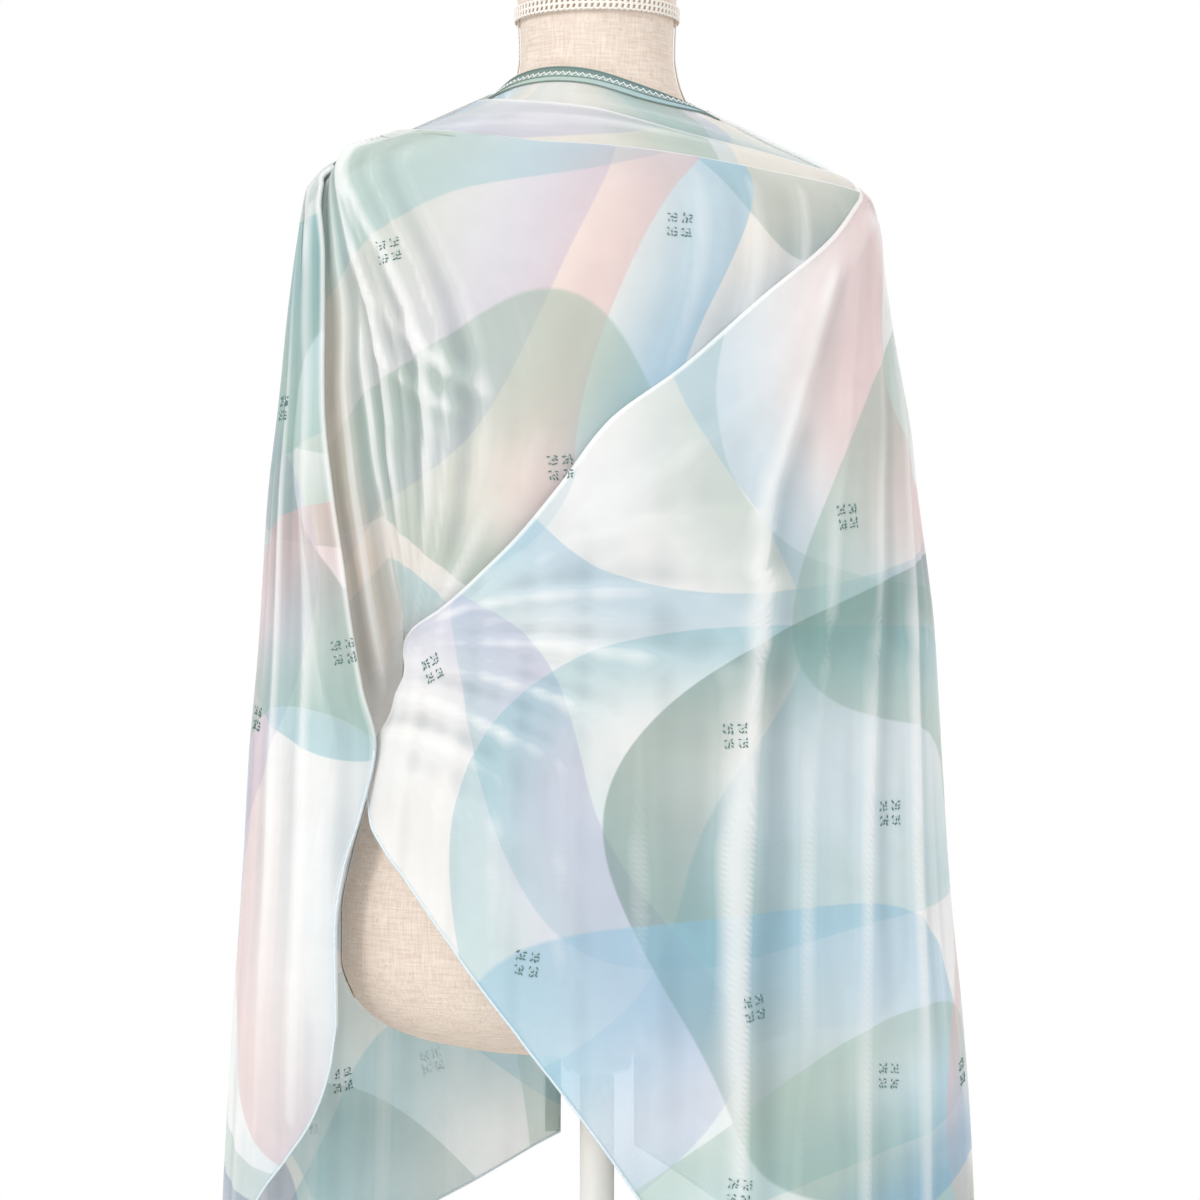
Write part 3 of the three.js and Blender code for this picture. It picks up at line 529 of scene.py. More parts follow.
wash_group.links.new(math_node(wash_group, "MULTIPLY", crisp, fading), wash_out["Mask"])

# %% The group that makes crepe's pebbly grain
grain_group, grain_in, grain_out = new_group(
    "crepe_grain", [("Vector", "Vector", (0, 0, 0)), ("Scale", "Float", 900.0)],
    [("Height", "Float"), ("Tone", "Float")],
)
pebbles = add_node(grain_group, "ShaderNodeTexNoise", Vector=grain_in["Vector"],
                   Scale=grain_in["Scale"], Detail=2.0, Roughness=0.6)
clouds = add_node(grain_group, "ShaderNodeTexNoise", Vector=grain_in["Vector"], Scale=22.0,
                  Detail=2.0)
grain_group.links.new(pebbles.outputs["Fac"], grain_out["Height"])
grain_group.links.new(clouds.outputs["Fac"], grain_out["Tone"])

# %% The colours of the print
TONES = {
    "white": srgb(249, 249, 247), "cream": srgb(243, 238, 229), "ivory": srgb(250, 245, 237),
    "tan": srgb(218, 197, 178), "sage": srgb(166, 194, 178),
    "aqua": srgb(134, 200, 210), "sky": srgb(150, 203, 228), "blue": srgb(104, 166, 204),
    "slate": srgb(98, 122, 164), "blush": srgb(236, 184, 180), "lilac": srgb(200, 202, 226),
    "mist": srgb(206, 224, 228), "deep": srgb(104, 146, 132),
}

# %% [markdown]
# The petals keep to no drawing. They lie on a staggered lattice over each stretch of cloth,
# every one a little off its place, and the colours take turns, so a fixed seed decides the
# whole layout. Each stretch has a seed of its own, because two of them lie over each other.

# %% The layout of the petals
PETAL_PITCH = 0.23
TONE_TURNS = ["sky", "blush", "aqua", "mist", "sage", "lilac", "blue", "aqua", "mist", "deep",
              "sky", "slate", "sage"]


def petals(across, down, seed):
    """Washes in metres of cloth: centre across and down, radius, which side of the edge the
    colour lies (1 inside, -1 outside), how far it fades, its tone and its strength."""
    draw = random.Random(seed)
    laid = []
    for row in range(round((down[1] - down[0]) / PETAL_PITCH) + 1):
        for column in range(round((across[1] - across[0]) / PETAL_PITCH) + 1):
            centre_across = across[0] + (column + 0.5 * (row % 2)) * PETAL_PITCH
            laid.append((
                centre_across + draw.uniform(-0.05, 0.05),
                down[0] + row * PETAL_PITCH + draw.uniform(-0.05, 0.05),
                draw.uniform(0.17, 0.31), draw.choice((1, 1, 1, -1)), draw.uniform(0.08, 0.16),
                TONE_TURNS[(5 * row + 2 * column + seed) % len(TONE_TURNS)],
                draw.uniform(0.34, 0.58),
            ))
    return laid


# Each stretch's ground, with its petals over the span of cloth that it shows
PRINTS = {
    "neck": ("cream", petals((-0.26, 0.30), (-0.08, 0.16), 3)),
    "chest": ("ivory", petals((-0.30, 0.34), (0.02, 0.50), 5)),
    "wrap": ("white", petals((-0.16, 0.56), (0.16, 1.00), 8)),
    "fall": ("white", petals((-0.54, -0.12), (0.08, 1.00), 13)),
}
print("petals:", {name: len(washes) for name, (ground, washes) in PRINTS.items()})

# %% [markdown]
# Crepe scatters light at every pebble of its twisted yarn, so it is matt with a faint sheen.
# Being sheer, one layer lets some of what is behind show, and two layers hide more. A cover
# attribute thins the cloth to nothing where a tucked end would otherwise print through. The folds
# have a painted highlight along their tops and painted shade in their hollows.

# %% The crepe
# Painted highlight and painted shade for the folds: ridges are painted near white, troughs painted
# darker
RIDGE_HIGHLIGHT_TONE = srgb(252, 252, 250)
TROUGH_SHADE_TONE = srgb(140, 158, 168)
THIN, DENSE = 0.56, 0.64  # how much one layer hides, from its thinnest yarn to its thickest


def crepe_material(name):
    ground, washes = PRINTS[name]
    material, tree, shader = new_material(f"crepe_{name}")
    coordinates = add_node(tree, "ShaderNodeUVMap", {"uv_map": "cloth"}).outputs["UV"]
    swirl = add_node(tree, "ShaderNodeTexNoise", Vector=coordinates, Scale=3.0, Detail=0.0)
    centred = add_node(tree, "ShaderNodeVectorMath", {"operation": "SUBTRACT"},
                       in0=swirl.outputs["Color"], in1=(0.5, 0.5, 0.5))
    pushed = add_node(tree, "ShaderNodeVectorMath", {"operation": "SCALE"},
                      in0=centred.outputs[0], Scale=0.30)
    flowing = add_node(tree, "ShaderNodeVectorMath", {"operation": "ADD"},
                       in0=coordinates, in1=pushed.outputs[0])
    flat = add_node(tree, "ShaderNodeVectorMath", {"operation": "MULTIPLY"},
                    in0=flowing.outputs[0], in1=(1, 1, 0))
    colour = TONES[ground]
    for across, down, radius, side, fade, tone, strength in washes:
        wash = add_node(tree, "ShaderNodeGroup", {"node_tree": wash_group}, Fade=fade, Side=side,
                        Vector=flat.outputs[0], Centre=(across, down, 0), Radius=radius)
        share = math_node(tree, "MULTIPLY", wash.outputs[0], strength)
        colour = mixed(tree, share, colour, TONES[tone])
    # Painted shade: the side stretch below the swag is painted tan, for the form and inner layers
    # behind it in shade
    if name == "chest":
        laid = add_node(tree, "ShaderNodeSeparateXYZ", Vector=coordinates)
        beside = ramp(tree, laid.outputs["X"], -0.174, -0.200, 0.0, 0.66, "SMOOTHSTEP")
        below = ramp(tree, laid.outputs["Y"], 0.13, 0.22, shape="SMOOTHSTEP")
        painted_side_shade = math_node(tree, "MULTIPLY", beside, below)
        colour = mixed(tree, painted_side_shade, colour, TONES["tan"])
    # Painted light: the crease attribute paints a highlight on ridges and folded edges, painted shade
    # in troughs, and denser cloth on ridges
    crease = add_node(tree, "ShaderNodeAttribute", {"attribute_name": "crease"}).outputs["Fac"]
    ridge_highlight_mask = ramp(tree, crease, 0.15, 1.0, 0.0, 0.72)
    trough_shade_mask = ramp(tree, crease, -0.08, -0.9, 0.0, 0.34)
    colour = mixed(tree, ridge_highlight_mask, colour, RIDGE_HIGHLIGHT_TONE)
    colour = mixed(tree, trough_shade_mask, colour, TROUGH_SHADE_TONE, "MULTIPLY")
    grain = add_node(tree, "ShaderNodeGroup", {"node_tree": grain_group}, Vector=coordinates)
    cover = add_node(tree, "ShaderNodeAttribute", {"attribute_name": "cover"}).outputs["Fac"]
    dense = ramp(tree, grain.outputs["Tone"], 0.3, 0.7, THIN, DENSE)
    denser = math_node(tree, "MULTIPLY_ADD", ridge_highlight_mask, 0.16, dense)
    tree.links.new(math_node(tree, "MULTIPLY", denser, cover), shader.inputs["Alpha"])
    dress(tree, shader, colour, 0.82, bump(tree, grain.outputs["Height"], strength=0.6))
    shader.inputs["Sheen Weight"].default_value = 0.25
    shader.inputs["Sheen Roughness"].default_value = 0.5
    shader.inputs["Specular IOR Level"].default_value = 0.25
    return material


CREPE_LOOKS = {name: crepe_material(name) for name in PRINTS}
print("crepe materials:", list(CREPE_LOOKS))

# %% [markdown]
# The form's cover is a plain linen: yarns of uneven thickness, cream and beige, with a darker
# fleck here and there. Two noises, stretched at right angles to each other, give the weave and slubs.

# %% The linen
linen, tree, shader = new_material("linen_cover")
place = add_node(tree, "ShaderNodeTexCoord").outputs["Object"]
slub_map = add_node(tree, "ShaderNodeMapping", Vector=place, Scale=(60, 60, 900))
slubs = add_node(tree, "ShaderNodeTexNoise", Vector=slub_map.outputs[0], Scale=1.0, Detail=3.0)
warp_map = add_node(tree, "ShaderNodeMapping", Vector=place, Scale=(900, 900, 60))
warps = add_node(tree, "ShaderNodeTexNoise", Vector=warp_map.outputs[0], Scale=1.0, Detail=3.0)
flecks = add_node(tree, "ShaderNodeTexNoise", Vector=place, Scale=330.0, Detail=2.0)
yarns = math_node(tree, "ADD", slubs.outputs["Fac"], warps.outputs["Fac"])
ground = mixed(tree, ramp(tree, yarns, 0.7, 1.3), srgb(214, 196, 180), srgb(236, 223, 210))
spots = ramp(tree, flecks.outputs["Fac"], 0.66, 0.74, 0.0, 0.45)
flecked = mixed(tree, spots, ground, srgb(176, 152, 130))
dress(tree, shader, flecked, 0.92, bump(tree, yarns, 0.0004, 0.5))
shader.inputs["Specular IOR Level"].default_value = 0.15

# %% [markdown]
# The remaining finishes are plain: cotton thread for the braids and zigzag, a ribbed tape for
# the band whose colour turns along its length, dark stitches with bright ones between them, and
# a satin enamel on the stand.

# %% Thread, band and enamel


def thread_material(name, dark, light, scale, roughness=0.8):
    material, tree, shader = new_material(name)
    place = add_node(tree, "ShaderNodeTexCoord").outputs["Object"]
    fibres = add_node(tree, "ShaderNodeTexNoise", Vector=place, Scale=scale, Detail=2.0)
    colour = mixed(tree, fibres.outputs["Fac"], dark, light)
    dress(tree, shader, colour, roughness, bump(tree, fibres.outputs["Fac"], strength=0.5))
    return material


cotton = thread_material("braid_cotton", srgb(224, 214, 200), srgb(250, 246, 240), 1400)
zigzag_thread = thread_material("zigzag_thread", srgb(232, 236, 234), srgb(252, 252, 250), 1400)
hem_thread = thread_material("hem_thread", srgb(196, 214, 222), srgb(232, 240, 244), 500)
stitch_thread = thread_material("stitch_thread", srgb(56, 100, 94), srgb(98, 142, 134), 900, 0.55)
glint_thread = thread_material("glint_thread", srgb(176, 196, 198), srgb(232, 240, 240), 900, 0.35)
glint_thread.node_tree.nodes["Principled BSDF"].inputs["Metallic"].default_value = 0.5

band_tape, tree, shader = new_material("band_tape")
band_uv = add_node(tree, "ShaderNodeUVMap", {"uv_map": "cloth"}).outputs["UV"]
split = add_node(tree, "ShaderNodeSeparateXYZ", Vector=band_uv)
along_band = ramp(tree, split.outputs["X"], 0.86, 1.10, shape="SMOOTHSTEP")
edge_strip = ramp(tree, split.outputs["Y"], 0.0030, 0.0034)
dark_part = mixed(tree, along_band, srgb(122, 142, 134), srgb(110, 152, 178))
pale_part = mixed(tree, along_band, srgb(186, 202, 190), srgb(160, 200, 224))
strips = mixed(tree, edge_strip, dark_part, pale_part)
ribs = add_node(tree, "ShaderNodeTexWave", {"bands_direction": "X"}, Vector=band_uv, Scale=420.0)
dress(tree, shader, strips, 0.85, bump(tree, ribs.outputs["Fac"]))

enamel, tree, shader = new_material("ivory_enamel")
place = add_node(tree, "ShaderNodeTexCoord").outputs["Object"]
orange_peel = add_node(tree, "ShaderNodeTexNoise", Vector=place, Scale=160.0, Detail=2.0)
wear = add_node(tree, "ShaderNodeTexNoise", Vector=place, Scale=9.0, Detail=4.0)
shade = mixed(tree, wear.outputs["Fac"], srgb(240, 238, 232), srgb(248, 247, 243))
gloss = ramp(tree, wear.outputs["Fac"], 0.0, 1.0, 0.28, 0.46)
dress(tree, shader, shade, gloss, bump(tree, orange_peel.outputs["Fac"], strength=0.3))

# %% [markdown]
# A sheet is made as a grid: rows run down the cloth and columns across it. Its UV map is laid
# out in metres of cloth, so the print keeps its scale over every fold.

# %% Making a sheet from a grid


def window(reach):
    weights = np.hanning(2 * reach + 3)[1:-1]
    return weights / weights.sum()


def blurred(values, reach):
    padded = np.pad(values, ((0, 0), (reach, reach)), mode="edge")
    return np.stack([np.convolve(row, window(reach), mode="valid") for row in padded])


def crease_of(lift, reach=6, full=1.9):
    """Where the cloth stands out from its neighbours, from -1 at the bottom of a fold to 1 at its top,
    for painting the folds' highlights and shade.
    """
    calm = blurred(blurred(lift, reach).T, reach).T
    return np.clip((lift - calm) / full, -1, 1)


def sheet_object(name, look, points, uv, cover=None, crease=None, thick=CREPE):
    rows, columns = points.shape[:2]
    index = np.arange(rows * columns).reshape(rows, columns)
    corners = np.stack([index[:-1, :-1], index[1:, :-1], index[1:, 1:], index[:-1, 1:]], axis=-1)
    faces = corners.reshape(-1, 4)
    mesh = bpy.data.meshes.new(name)
    mesh.from_pydata((points.reshape(-1, 3) * MM).tolist(), [], faces.tolist())
    layer = mesh.uv_layers.new(name="cloth")
    layer.data.foreach_set("uv", uv.reshape(-1, 2)[faces.reshape(-1)].reshape(-1))
    for label, values, plain in (("cover", cover, 1.0), ("crease", crease, 0.0)):
        shade = mesh.attributes.new(label, "FLOAT", "POINT")
        values = np.full(rows * columns, plain) if values is None else values.reshape(-1)
        shade.data.foreach_set("value", values.astype(np.float32))
    mesh.shade_smooth()
    mesh.materials.append(look)
    piece = put(name, mesh)
    wall = piece.modifiers.new("thickness", "SOLIDIFY")
    wall.thickness = thick * MM
    wall.offset = 0
    area = sum(face.area for face in mesh.polygons)
    print(f"{name}: {rows} by {columns}, {area:.3f} m2")
    return piece


def turn_under(edge_points, inward, facing, radius, depth, steps=5):
    """Columns that roll round an edge and run back behind the cloth, innermost first."""
    runs = []
    for k in range(3, 0, -1):
        runs.append(edge_points + inward * (depth * k / 3) - facing * (2 * radius))
    for k in range(steps, 0, -1):
        angle = math.pi * k / steps
        roll = -inward * (radius * math.sin(angle)) - facing * (radius * (1 - math.cos(angle)))
        runs.append(edge_points + roll)
    return runs


ROLL_COVER = [0.1, 0.4, 0.7, 1, 1, 1, 1, 1]
# Painted highlight along each rolled edge, strongest on the roll itself
ROLL_CREASE = [0, 0, 0.3, 0.6, 0.8, 1, 1, 1]


def rolled(roll, points, uv, cover, crease, axis=0, at_end=False):
    """Adds a rolled edge to a sheet: before its first row or column, or after its last."""
    def join(strip, grid):
        strip = np.moveaxis(strip[::-1] if at_end else strip, 0, axis)
        return np.concatenate([grid, strip] if at_end else [strip, grid], axis=axis)
    edge = np.take(uv, -1 if at_end else 0, axis=axis)
    along = np.ones(len(edge))
    return (join(np.stack(roll), points), join(np.stack([edge] * len(roll)), uv),
            join(np.outer(ROLL_COVER, along), cover), join(np.outer(ROLL_CREASE, along), crease))


def steep_edge(shell, turn, z, edge, beside):
    """The way in from an edge that runs down the cloth, and the way the cloth faces there."""
    facing = shell.facing(turn, z)
    inward = unit(np.cross(unit(np.gradient(edge, axis=0)), facing))
    return inward * np.sign(np.sum(inward * (beside - edge), axis=1))[:, None], facing


# Each turned-under edge: the radius of its roll and the depth of the strip behind it
ROLLS = {"pleat": (1.3, 9), "chest": (1.4, 12), "lip": (1.6, 14), "fold": (1.8, 18)}
CLOTH_PIECES = {}

# %% [markdown]
# Two pleats lie across the front of the neck, each with its folded edge over the one above. A
# pleat is a long strip, rolled under at its top edge and tucked under the next at its foot.

# %% The pleats at the neck
neck_edge = curve_of(NECKLINE, "turn", "edge")
upper_fold = curve_of(NECKLINE, "turn", "upper")
lower_fold = curve_of(NECKLINE, "turn", "lower")


def pleat(name, out, top, foot, has_roll, zero):
    turn = np.linspace(-96, 96, 132)[None, :]
    share = np.linspace(0, 1, 17)[:, None]
    sink = 3.2 * ease(82, 95, np.abs(turn))
    held = np.clip(turn, -90, 90)
    z = top(held) + (foot(held) - TUCK - top(held)) * share
    calm = ease(0, 0.25, share)
    points = pleat_shell.at(turn, z, out - sink, calm)
    uv = pleat_shell.flat(turn, z, *zero)
    cover = 1 - 0.9 * ease(0.75, 1, share) + 0 * turn
    crease = crease_of(pleat_shell.lift(turn, z) * calm, 4)
    parts = (points, uv, cover, crease)
    if has_roll:
        inward = unit(points[1] - points[0])
        facing = pleat_shell.facing(turn[0], z[0])
        # Painted highlight along the pleat's folded top edge
        crease[0] = 0.9
        parts = rolled(turn_under(points[0], inward, facing, *ROLLS["pleat"]), *parts)
    CLOTH_PIECES[name] = sheet_object(name, CREPE_LOOKS["neck"], *parts)


pleat("upper_pleat_cloth", PLEAT_OUT["upper"], neck_edge, upper_fold, False, (0.0, 0.0))
pleat("second_pleat_cloth", PLEAT_OUT["second"], upper_fold, lower_fold, True, (0.0, 0.03))

# %% [markdown]
# The chest cloth runs from the right side line over the chest to the gathered swag below the
# left shoulder, then leaves the form as one taut layer that goes behind the left fall.

# %% The chest and the left side
bridge = curve_of(LEFT_SIDE, "z", "bridge")
lip = curve_of(LEFT_SIDE, "z", "lip")
chest_end = curve_of(CHEST_END, "turn", "z")


chest_share = np.linspace(0, 1, 96)[:, None]
chest_across = np.linspace(0, 1, 104)[None, :]
chest_turn = -60 + 152 * chest_across + 0 * chest_share
for _ in range(8):
    held = np.clip(chest_turn, -90, 90)
    chest_z = lower_fold(held) + (chest_end(held) - lower_fold(held)) * chest_share**1.6
    chest_left = chest_shell.turn_at(bridge(chest_z), chest_z)
    chest_turn = chest_left + (92 - chest_left) * chest_across
chest_out = PLEAT_OUT["chest"] - 4.5 * ease(80, 92, chest_turn)
chest_calm = ease(0, 0.16, chest_share)
chest_points = chest_shell.at(chest_turn, chest_z, chest_out, chest_calm)
chest_lift = chest_shell.lift(chest_turn, chest_z) * chest_calm

side_from = chest_points[:, :1]
side_z = np.clip(chest_z[:, :1] - 62 * chest_share, 470, 882)
side_turn = fall_shell.turn_at(lip(side_z), side_z) - 5
side_to = fall_shell.at(side_turn, side_z, -9)
side_share = np.linspace(0, 1, 15)[None, :-1]
side_points = side_to + (side_from - side_to) * side_share[..., None]
side_waves = np.sin(side_share * 15 + chest_share * 2.5) * np.sin(np.pi * side_share)
side_sag = 5 * np.sin(np.pi * side_share) + 1.8 * side_waves
side_points = side_points + np.array([0, 1, 0]) * side_sag[..., None]
front_points = np.concatenate([side_points, chest_points], axis=1)
side_flat = chest_turn[:, :1] - 14 * (1 - side_share)
flat_turn = np.concatenate([side_flat, chest_turn], axis=1)
flat_z = np.concatenate([chest_z[:, :1] + 0 * side_share, chest_z], axis=1)
chest_uv = chest_shell.flat(flat_turn, flat_z)
chest_crease = crease_of(np.concatenate([-1.8 * side_waves, chest_lift], axis=1))
# Painted highlight along the chest cloth's folded top edge
chest_crease[0] = 0.9
chest_cover = 1 - ease(0.90, 1, chest_share) + 0 * flat_turn
chest_inward = unit(front_points[1] - front_points[0])
chest_columns = unit(np.gradient(front_points[0], axis=0))
chest_facing = unit(np.cross(chest_inward, chest_columns))
chest_roll = turn_under(front_points[0], chest_inward, chest_facing, *ROLLS["chest"])
CLOTH_PIECES["chest_cloth"] = sheet_object(
    "chest_cloth", CREPE_LOOKS["chest"],
    *rolled(chest_roll, front_points, chest_uv, chest_cover, chest_crease))

# %% [markdown]
# The left fall is one sheet from its lip in front, round the side and behind to its inner edge.
# Above the waist its lip is a fold. Below, it is the shawl's own rolled edge.

# %% The left fall
fall_top = curve_of(FALL_TOP, "turn", "z")
fall_hem = curve_of(FALL_HEM, "turn", "z")
back_top_left = curve_of(BACK_EDGE, "turn", "left")
back_hem_left = curve_of(BACK_HEM, "turn", "left")
fall_share = np.linspace(0, 1, 205)[:, None]
fall_across = np.linspace(0, 1, 120)[None, :]


def fall_columns(z):
    """The columns share out the cloth from the lip to the inner edge behind."""
    from_lip = -fall_shell.turn_at(lip(z), z)
    return from_lip + (BACK_TURN - from_lip) * fall_across


def where_columns_meet(front, behind):
    """The height at which each column meets an edge, found by stepping towards it."""
    turn = 60 + (BACK_TURN - 60) * fall_across
    for _ in range(20):
        z = np.where(turn < 90, front(turn), behind(turn))
        turn = 0.5 * turn + 0.5 * fall_columns(z)
    return z


fall_head = where_columns_meet(fall_top, back_top_left)
fall_low = where_columns_meet(fall_hem, back_hem_left)
fall_z = fall_head + (fall_low - fall_head) * fall_share
fall_turn = fall_columns(fall_z)
fall_points = fall_shell.at(-fall_turn, fall_z)[:, ::-1]
lip_points = fall_points[:, -1]
lip_inward, lip_facing = steep_edge(
    fall_shell, -fall_turn[:, 0], fall_z[:, 0], lip_points, fall_points[:, -3])
folded = ease(455, 520, fall_z[:, 0])[:, None]
lip_roll = turn_under(lip_points, lip_inward * (0.15 + 0.85 * folded), lip_facing, *ROLLS["lip"])
fall_crease = crease_of(fall_shell.lift(-fall_turn, fall_z)[:, ::-1])
# Painted highlight along the left fall's lip
fall_crease[:, -1] = np.maximum(fall_crease[:, -1], 0.7)
fall_uv = fall_shell.flat(-fall_turn, fall_z)[:, ::-1]
CLOTH_PIECES["left_fall_cloth"] = sheet_object(
    "left_fall_cloth", CREPE_LOOKS["fall"],
    *rolled(lip_roll, fall_points, fall_uv, 1 + 0 * fall_crease, fall_crease, 1, at_end=True))

# %% [markdown]
# The outer cloth is the largest sheet: the diagonal fold from the right shoulder, the gathers
# drawn to the left of the waist, the long slanting hem, the right fall and its back.

# %% The outer wrap
wrap_edge = curve_of(WRAP_EDGE, "z", "x")
back_top_right = curve_of(BACK_EDGE, "turn", "right")
back_hem_right = curve_of(BACK_HEM, "turn", "right")
WRAP_TOP = 857
SHOULDER_TOP = 923
wrap_z_side = np.linspace(SHOULDER_TOP, LOW_HEM, 216)[:, None]
wrap_across = np.linspace(0, 1, 196)[None, :]
wrap_left = wrap_shell.turn_at(wrap_edge(wrap_z_side), np.minimum(wrap_z_side, WRAP_TOP))
over_shoulder = ease(WRAP_TOP, 878, wrap_z_side)
wrap_left = wrap_left + (89 - wrap_left) * over_shoulder
wrap_turn = wrap_left + (BACK_TURN - wrap_left) * wrap_across
wrap_low = np.where(wrap_turn < 90, LOW_HEM, back_hem_right(wrap_turn))
wrap_high = np.where(wrap_turn < 90, SHOULDER_TOP, back_top_right(wrap_turn))
wrap_part = (wrap_z_side - LOW_HEM) / (SHOULDER_TOP - LOW_HEM)
wrap_z = wrap_low + (wrap_high - wrap_low) * wrap_part
wrap_calm = 1 - (1 - ease(0, 0.10, wrap_across)) * ease(590, 630, wrap_z_side)
wrap_points = wrap_shell.at(wrap_turn, wrap_z, 0.0, wrap_calm)
fold_points = wrap_points[:, 0]
fold_inward, fold_facing = steep_edge(
    wrap_shell, wrap_turn[:, 0], wrap_z[:, 0], fold_points, wrap_points[:, 2])
folded = ease(440, 560, wrap_z[:, 0])[:, None]
fold_roll = turn_under(fold_points, fold_inward * (0.12 + 0.88 * folded), fold_facing,
                       *ROLLS["fold"])
wrap_crease = crease_of(wrap_shell.lift(wrap_turn, wrap_z) * wrap_calm)
# Painted highlight along the diagonal fold, fading out towards the waist and below
wrap_crease[:, 0] = np.maximum(wrap_crease[:, 0], 0.9 * folded[:, 0])
wrap_uv = wrap_shell.flat(wrap_turn, wrap_z)
CLOTH_PIECES["outer_wrap_cloth"] = sheet_object(
    "outer_wrap_cloth", CREPE_LOOKS["wrap"],
    *rolled(fold_roll, wrap_points, wrap_uv, 1 + 0 * wrap_crease, wrap_crease, 1))

# %% [markdown]
# The hems are rolled and whipped, so each free edge is a thin cord of cloth. The stitched band
# has a zigzag of thread down its middle. Both follow a path, which is work for Geometry Nodes.

# %% Helpers for Geometry Nodes


def new_tree(name, sizes):
    tree = bpy.data.node_groups.new(name, "GeometryNodeTree")
    tree.interface.new_socket("Geometry", in_out="INPUT", socket_type="NodeSocketGeometry")
    for label, value in sizes.items():
        kind = "NodeSocketInt" if isinstance(value, int) else "NodeSocketFloat"
        tree.interface.new_socket(label, in_out="INPUT", socket_type=kind).default_value = value
    tree.interface.new_socket("Material", in_out="INPUT", socket_type="NodeSocketMaterial")
    tree.interface.new_socket("Geometry", in_out="OUTPUT", socket_type="NodeSocketGeometry")
    return tree, tree.nodes.new("NodeGroupInput").outputs, tree.nodes.new("NodeGroupOutput").inputs


def close_tree(tree, geometry, given, result):
    real = add_node(tree, "GeometryNodeRealizeInstances", Geometry=geometry)
    smooth = add_node(tree, "GeometryNodeSetShadeSmooth", Geometry=real.outputs[0])
    finish = add_node(tree, "GeometryNodeSetMaterial", Geometry=smooth.outputs[0],
                      Material=given["Material"])
    tree.links.new(finish.outputs[0], result["Geometry"])


def vector_attribute(tree, name):
    node = add_node(tree, "GeometryNodeInputNamedAttribute", {"data_type": "FLOAT_VECTOR"})
    node.inputs["Name"].default_value = name
    return node.outputs["Attribute"]


def grow(name, host, tree, sizes, material):
    """Runs a tree on a host object, and keeps only the plain mesh that comes out."""
    modifier = host.modifiers.new(tree.name, "NODES")
    modifier.node_group = tree
    for item in tree.interface.items_tree:
        if item.item_type == "SOCKET" and item.in_out == "INPUT" and item.name in sizes:
            modifier[item.identifier] = sizes[item.name]
        if item.item_type == "SOCKET" and item.name == "Material":
            modifier[item.identifier] = material
    seen = host.evaluated_get(bpy.context.evaluated_depsgraph_get())
    mesh = bpy.data.meshes.new_from_object(seen)
    host.modifiers.clear()
    host.data = mesh
    host.name = name
    mesh.name = name
    print(f"{name}: {len(mesh.polygons)} faces")
    return host


def path_object(name, runs, out=None, across=None):
    """Polylines, each a list of points, with the way out of and across the cloth on each."""
    points = np.concatenate(runs)
    edges = []
    start = 0
    for run in runs:
        edges += [(start + i, start + i + 1) for i in range(len(run) - 1)]
        start += len(run)
    mesh = bpy.data.meshes.new(name)
    mesh.from_pydata((points * MM).tolist(), edges, [])
    for label, value in (("out", out), ("across", across)):
        if value is not None:
            layer = mesh.attributes.new(label, "FLOAT_VECTOR", "POINT")
            layer.data.foreach_set("vector", np.concatenate(value).astype(np.float32).reshape(-1))
    return put(name, mesh)


# %% A thread that follows a path, straight or in a zigzag
thread_tree, given, result = new_tree(
    "thread_on_path", {"Pitch": 0.002, "Swing": 0.0, "Thread radius": 0.0006})
route = add_node(thread_tree, "GeometryNodeMeshToCurve", Mesh=given["Geometry"])
evenly = add_node(thread_tree, "GeometryNodeResampleCurve", {"mode": "LENGTH"},
                  Curve=route.outputs[0], Length=given["Pitch"])
number = add_node(thread_tree, "GeometryNodeInputIndex")
every_other = math_node(thread_tree, "MODULO", number.outputs[0], 2.0)
to_and_fro = math_node(thread_tree, "MULTIPLY_ADD", every_other, 2.0, -1.0)
swing = math_node(thread_tree, "MULTIPLY", to_and_fro, given["Swing"])
sideways = add_node(thread_tree, "ShaderNodeVectorMath", {"operation": "SCALE"},
                    in0=vector_attribute(thread_tree, "across"), Scale=swing)
swung = add_node(thread_tree, "GeometryNodeSetPosition", Geometry=evenly.outputs[0],
                 Offset=sideways.outputs[0])
profile = add_node(thread_tree, "GeometryNodeCurvePrimitiveCircle", Resolution=6,
                   Radius=given["Thread radius"])
tube = add_node(thread_tree, "GeometryNodeCurveToMesh", Curve=swung.outputs[0],
                Profile_Curve=profile.outputs[0], Fill_Caps=True)
close_tree(thread_tree, tube.outputs[0], given, result)

# %% The rolled hems
wrap_front_hem = wrap_points[wrap_z[:, 0] < 452, 0]
wrap_foot = wrap_points[-1]
fall_lip_hem = fall_points[fall_z[:, 0] < 480, -1]
fall_foot = fall_points[-1]
hem_host = path_object("hems", [wrap_front_hem, wrap_foot, fall_lip_hem, fall_foot])
hems = grow("rolled_hems", hem_host, thread_tree,
            {"Pitch": 0.003, "Swing": 0.0, "Thread radius": 0.00085}, hem_thread)

# %% [markdown]
# The band follows the shawl's upper long edge: up one back edge, over the shoulder, across the
# neck and down the other back edge. Its route is smoothed where it passes over the shoulders.

# %% The route of the band
BAND_OUT = 1.0
BAND_THICK = 0.7


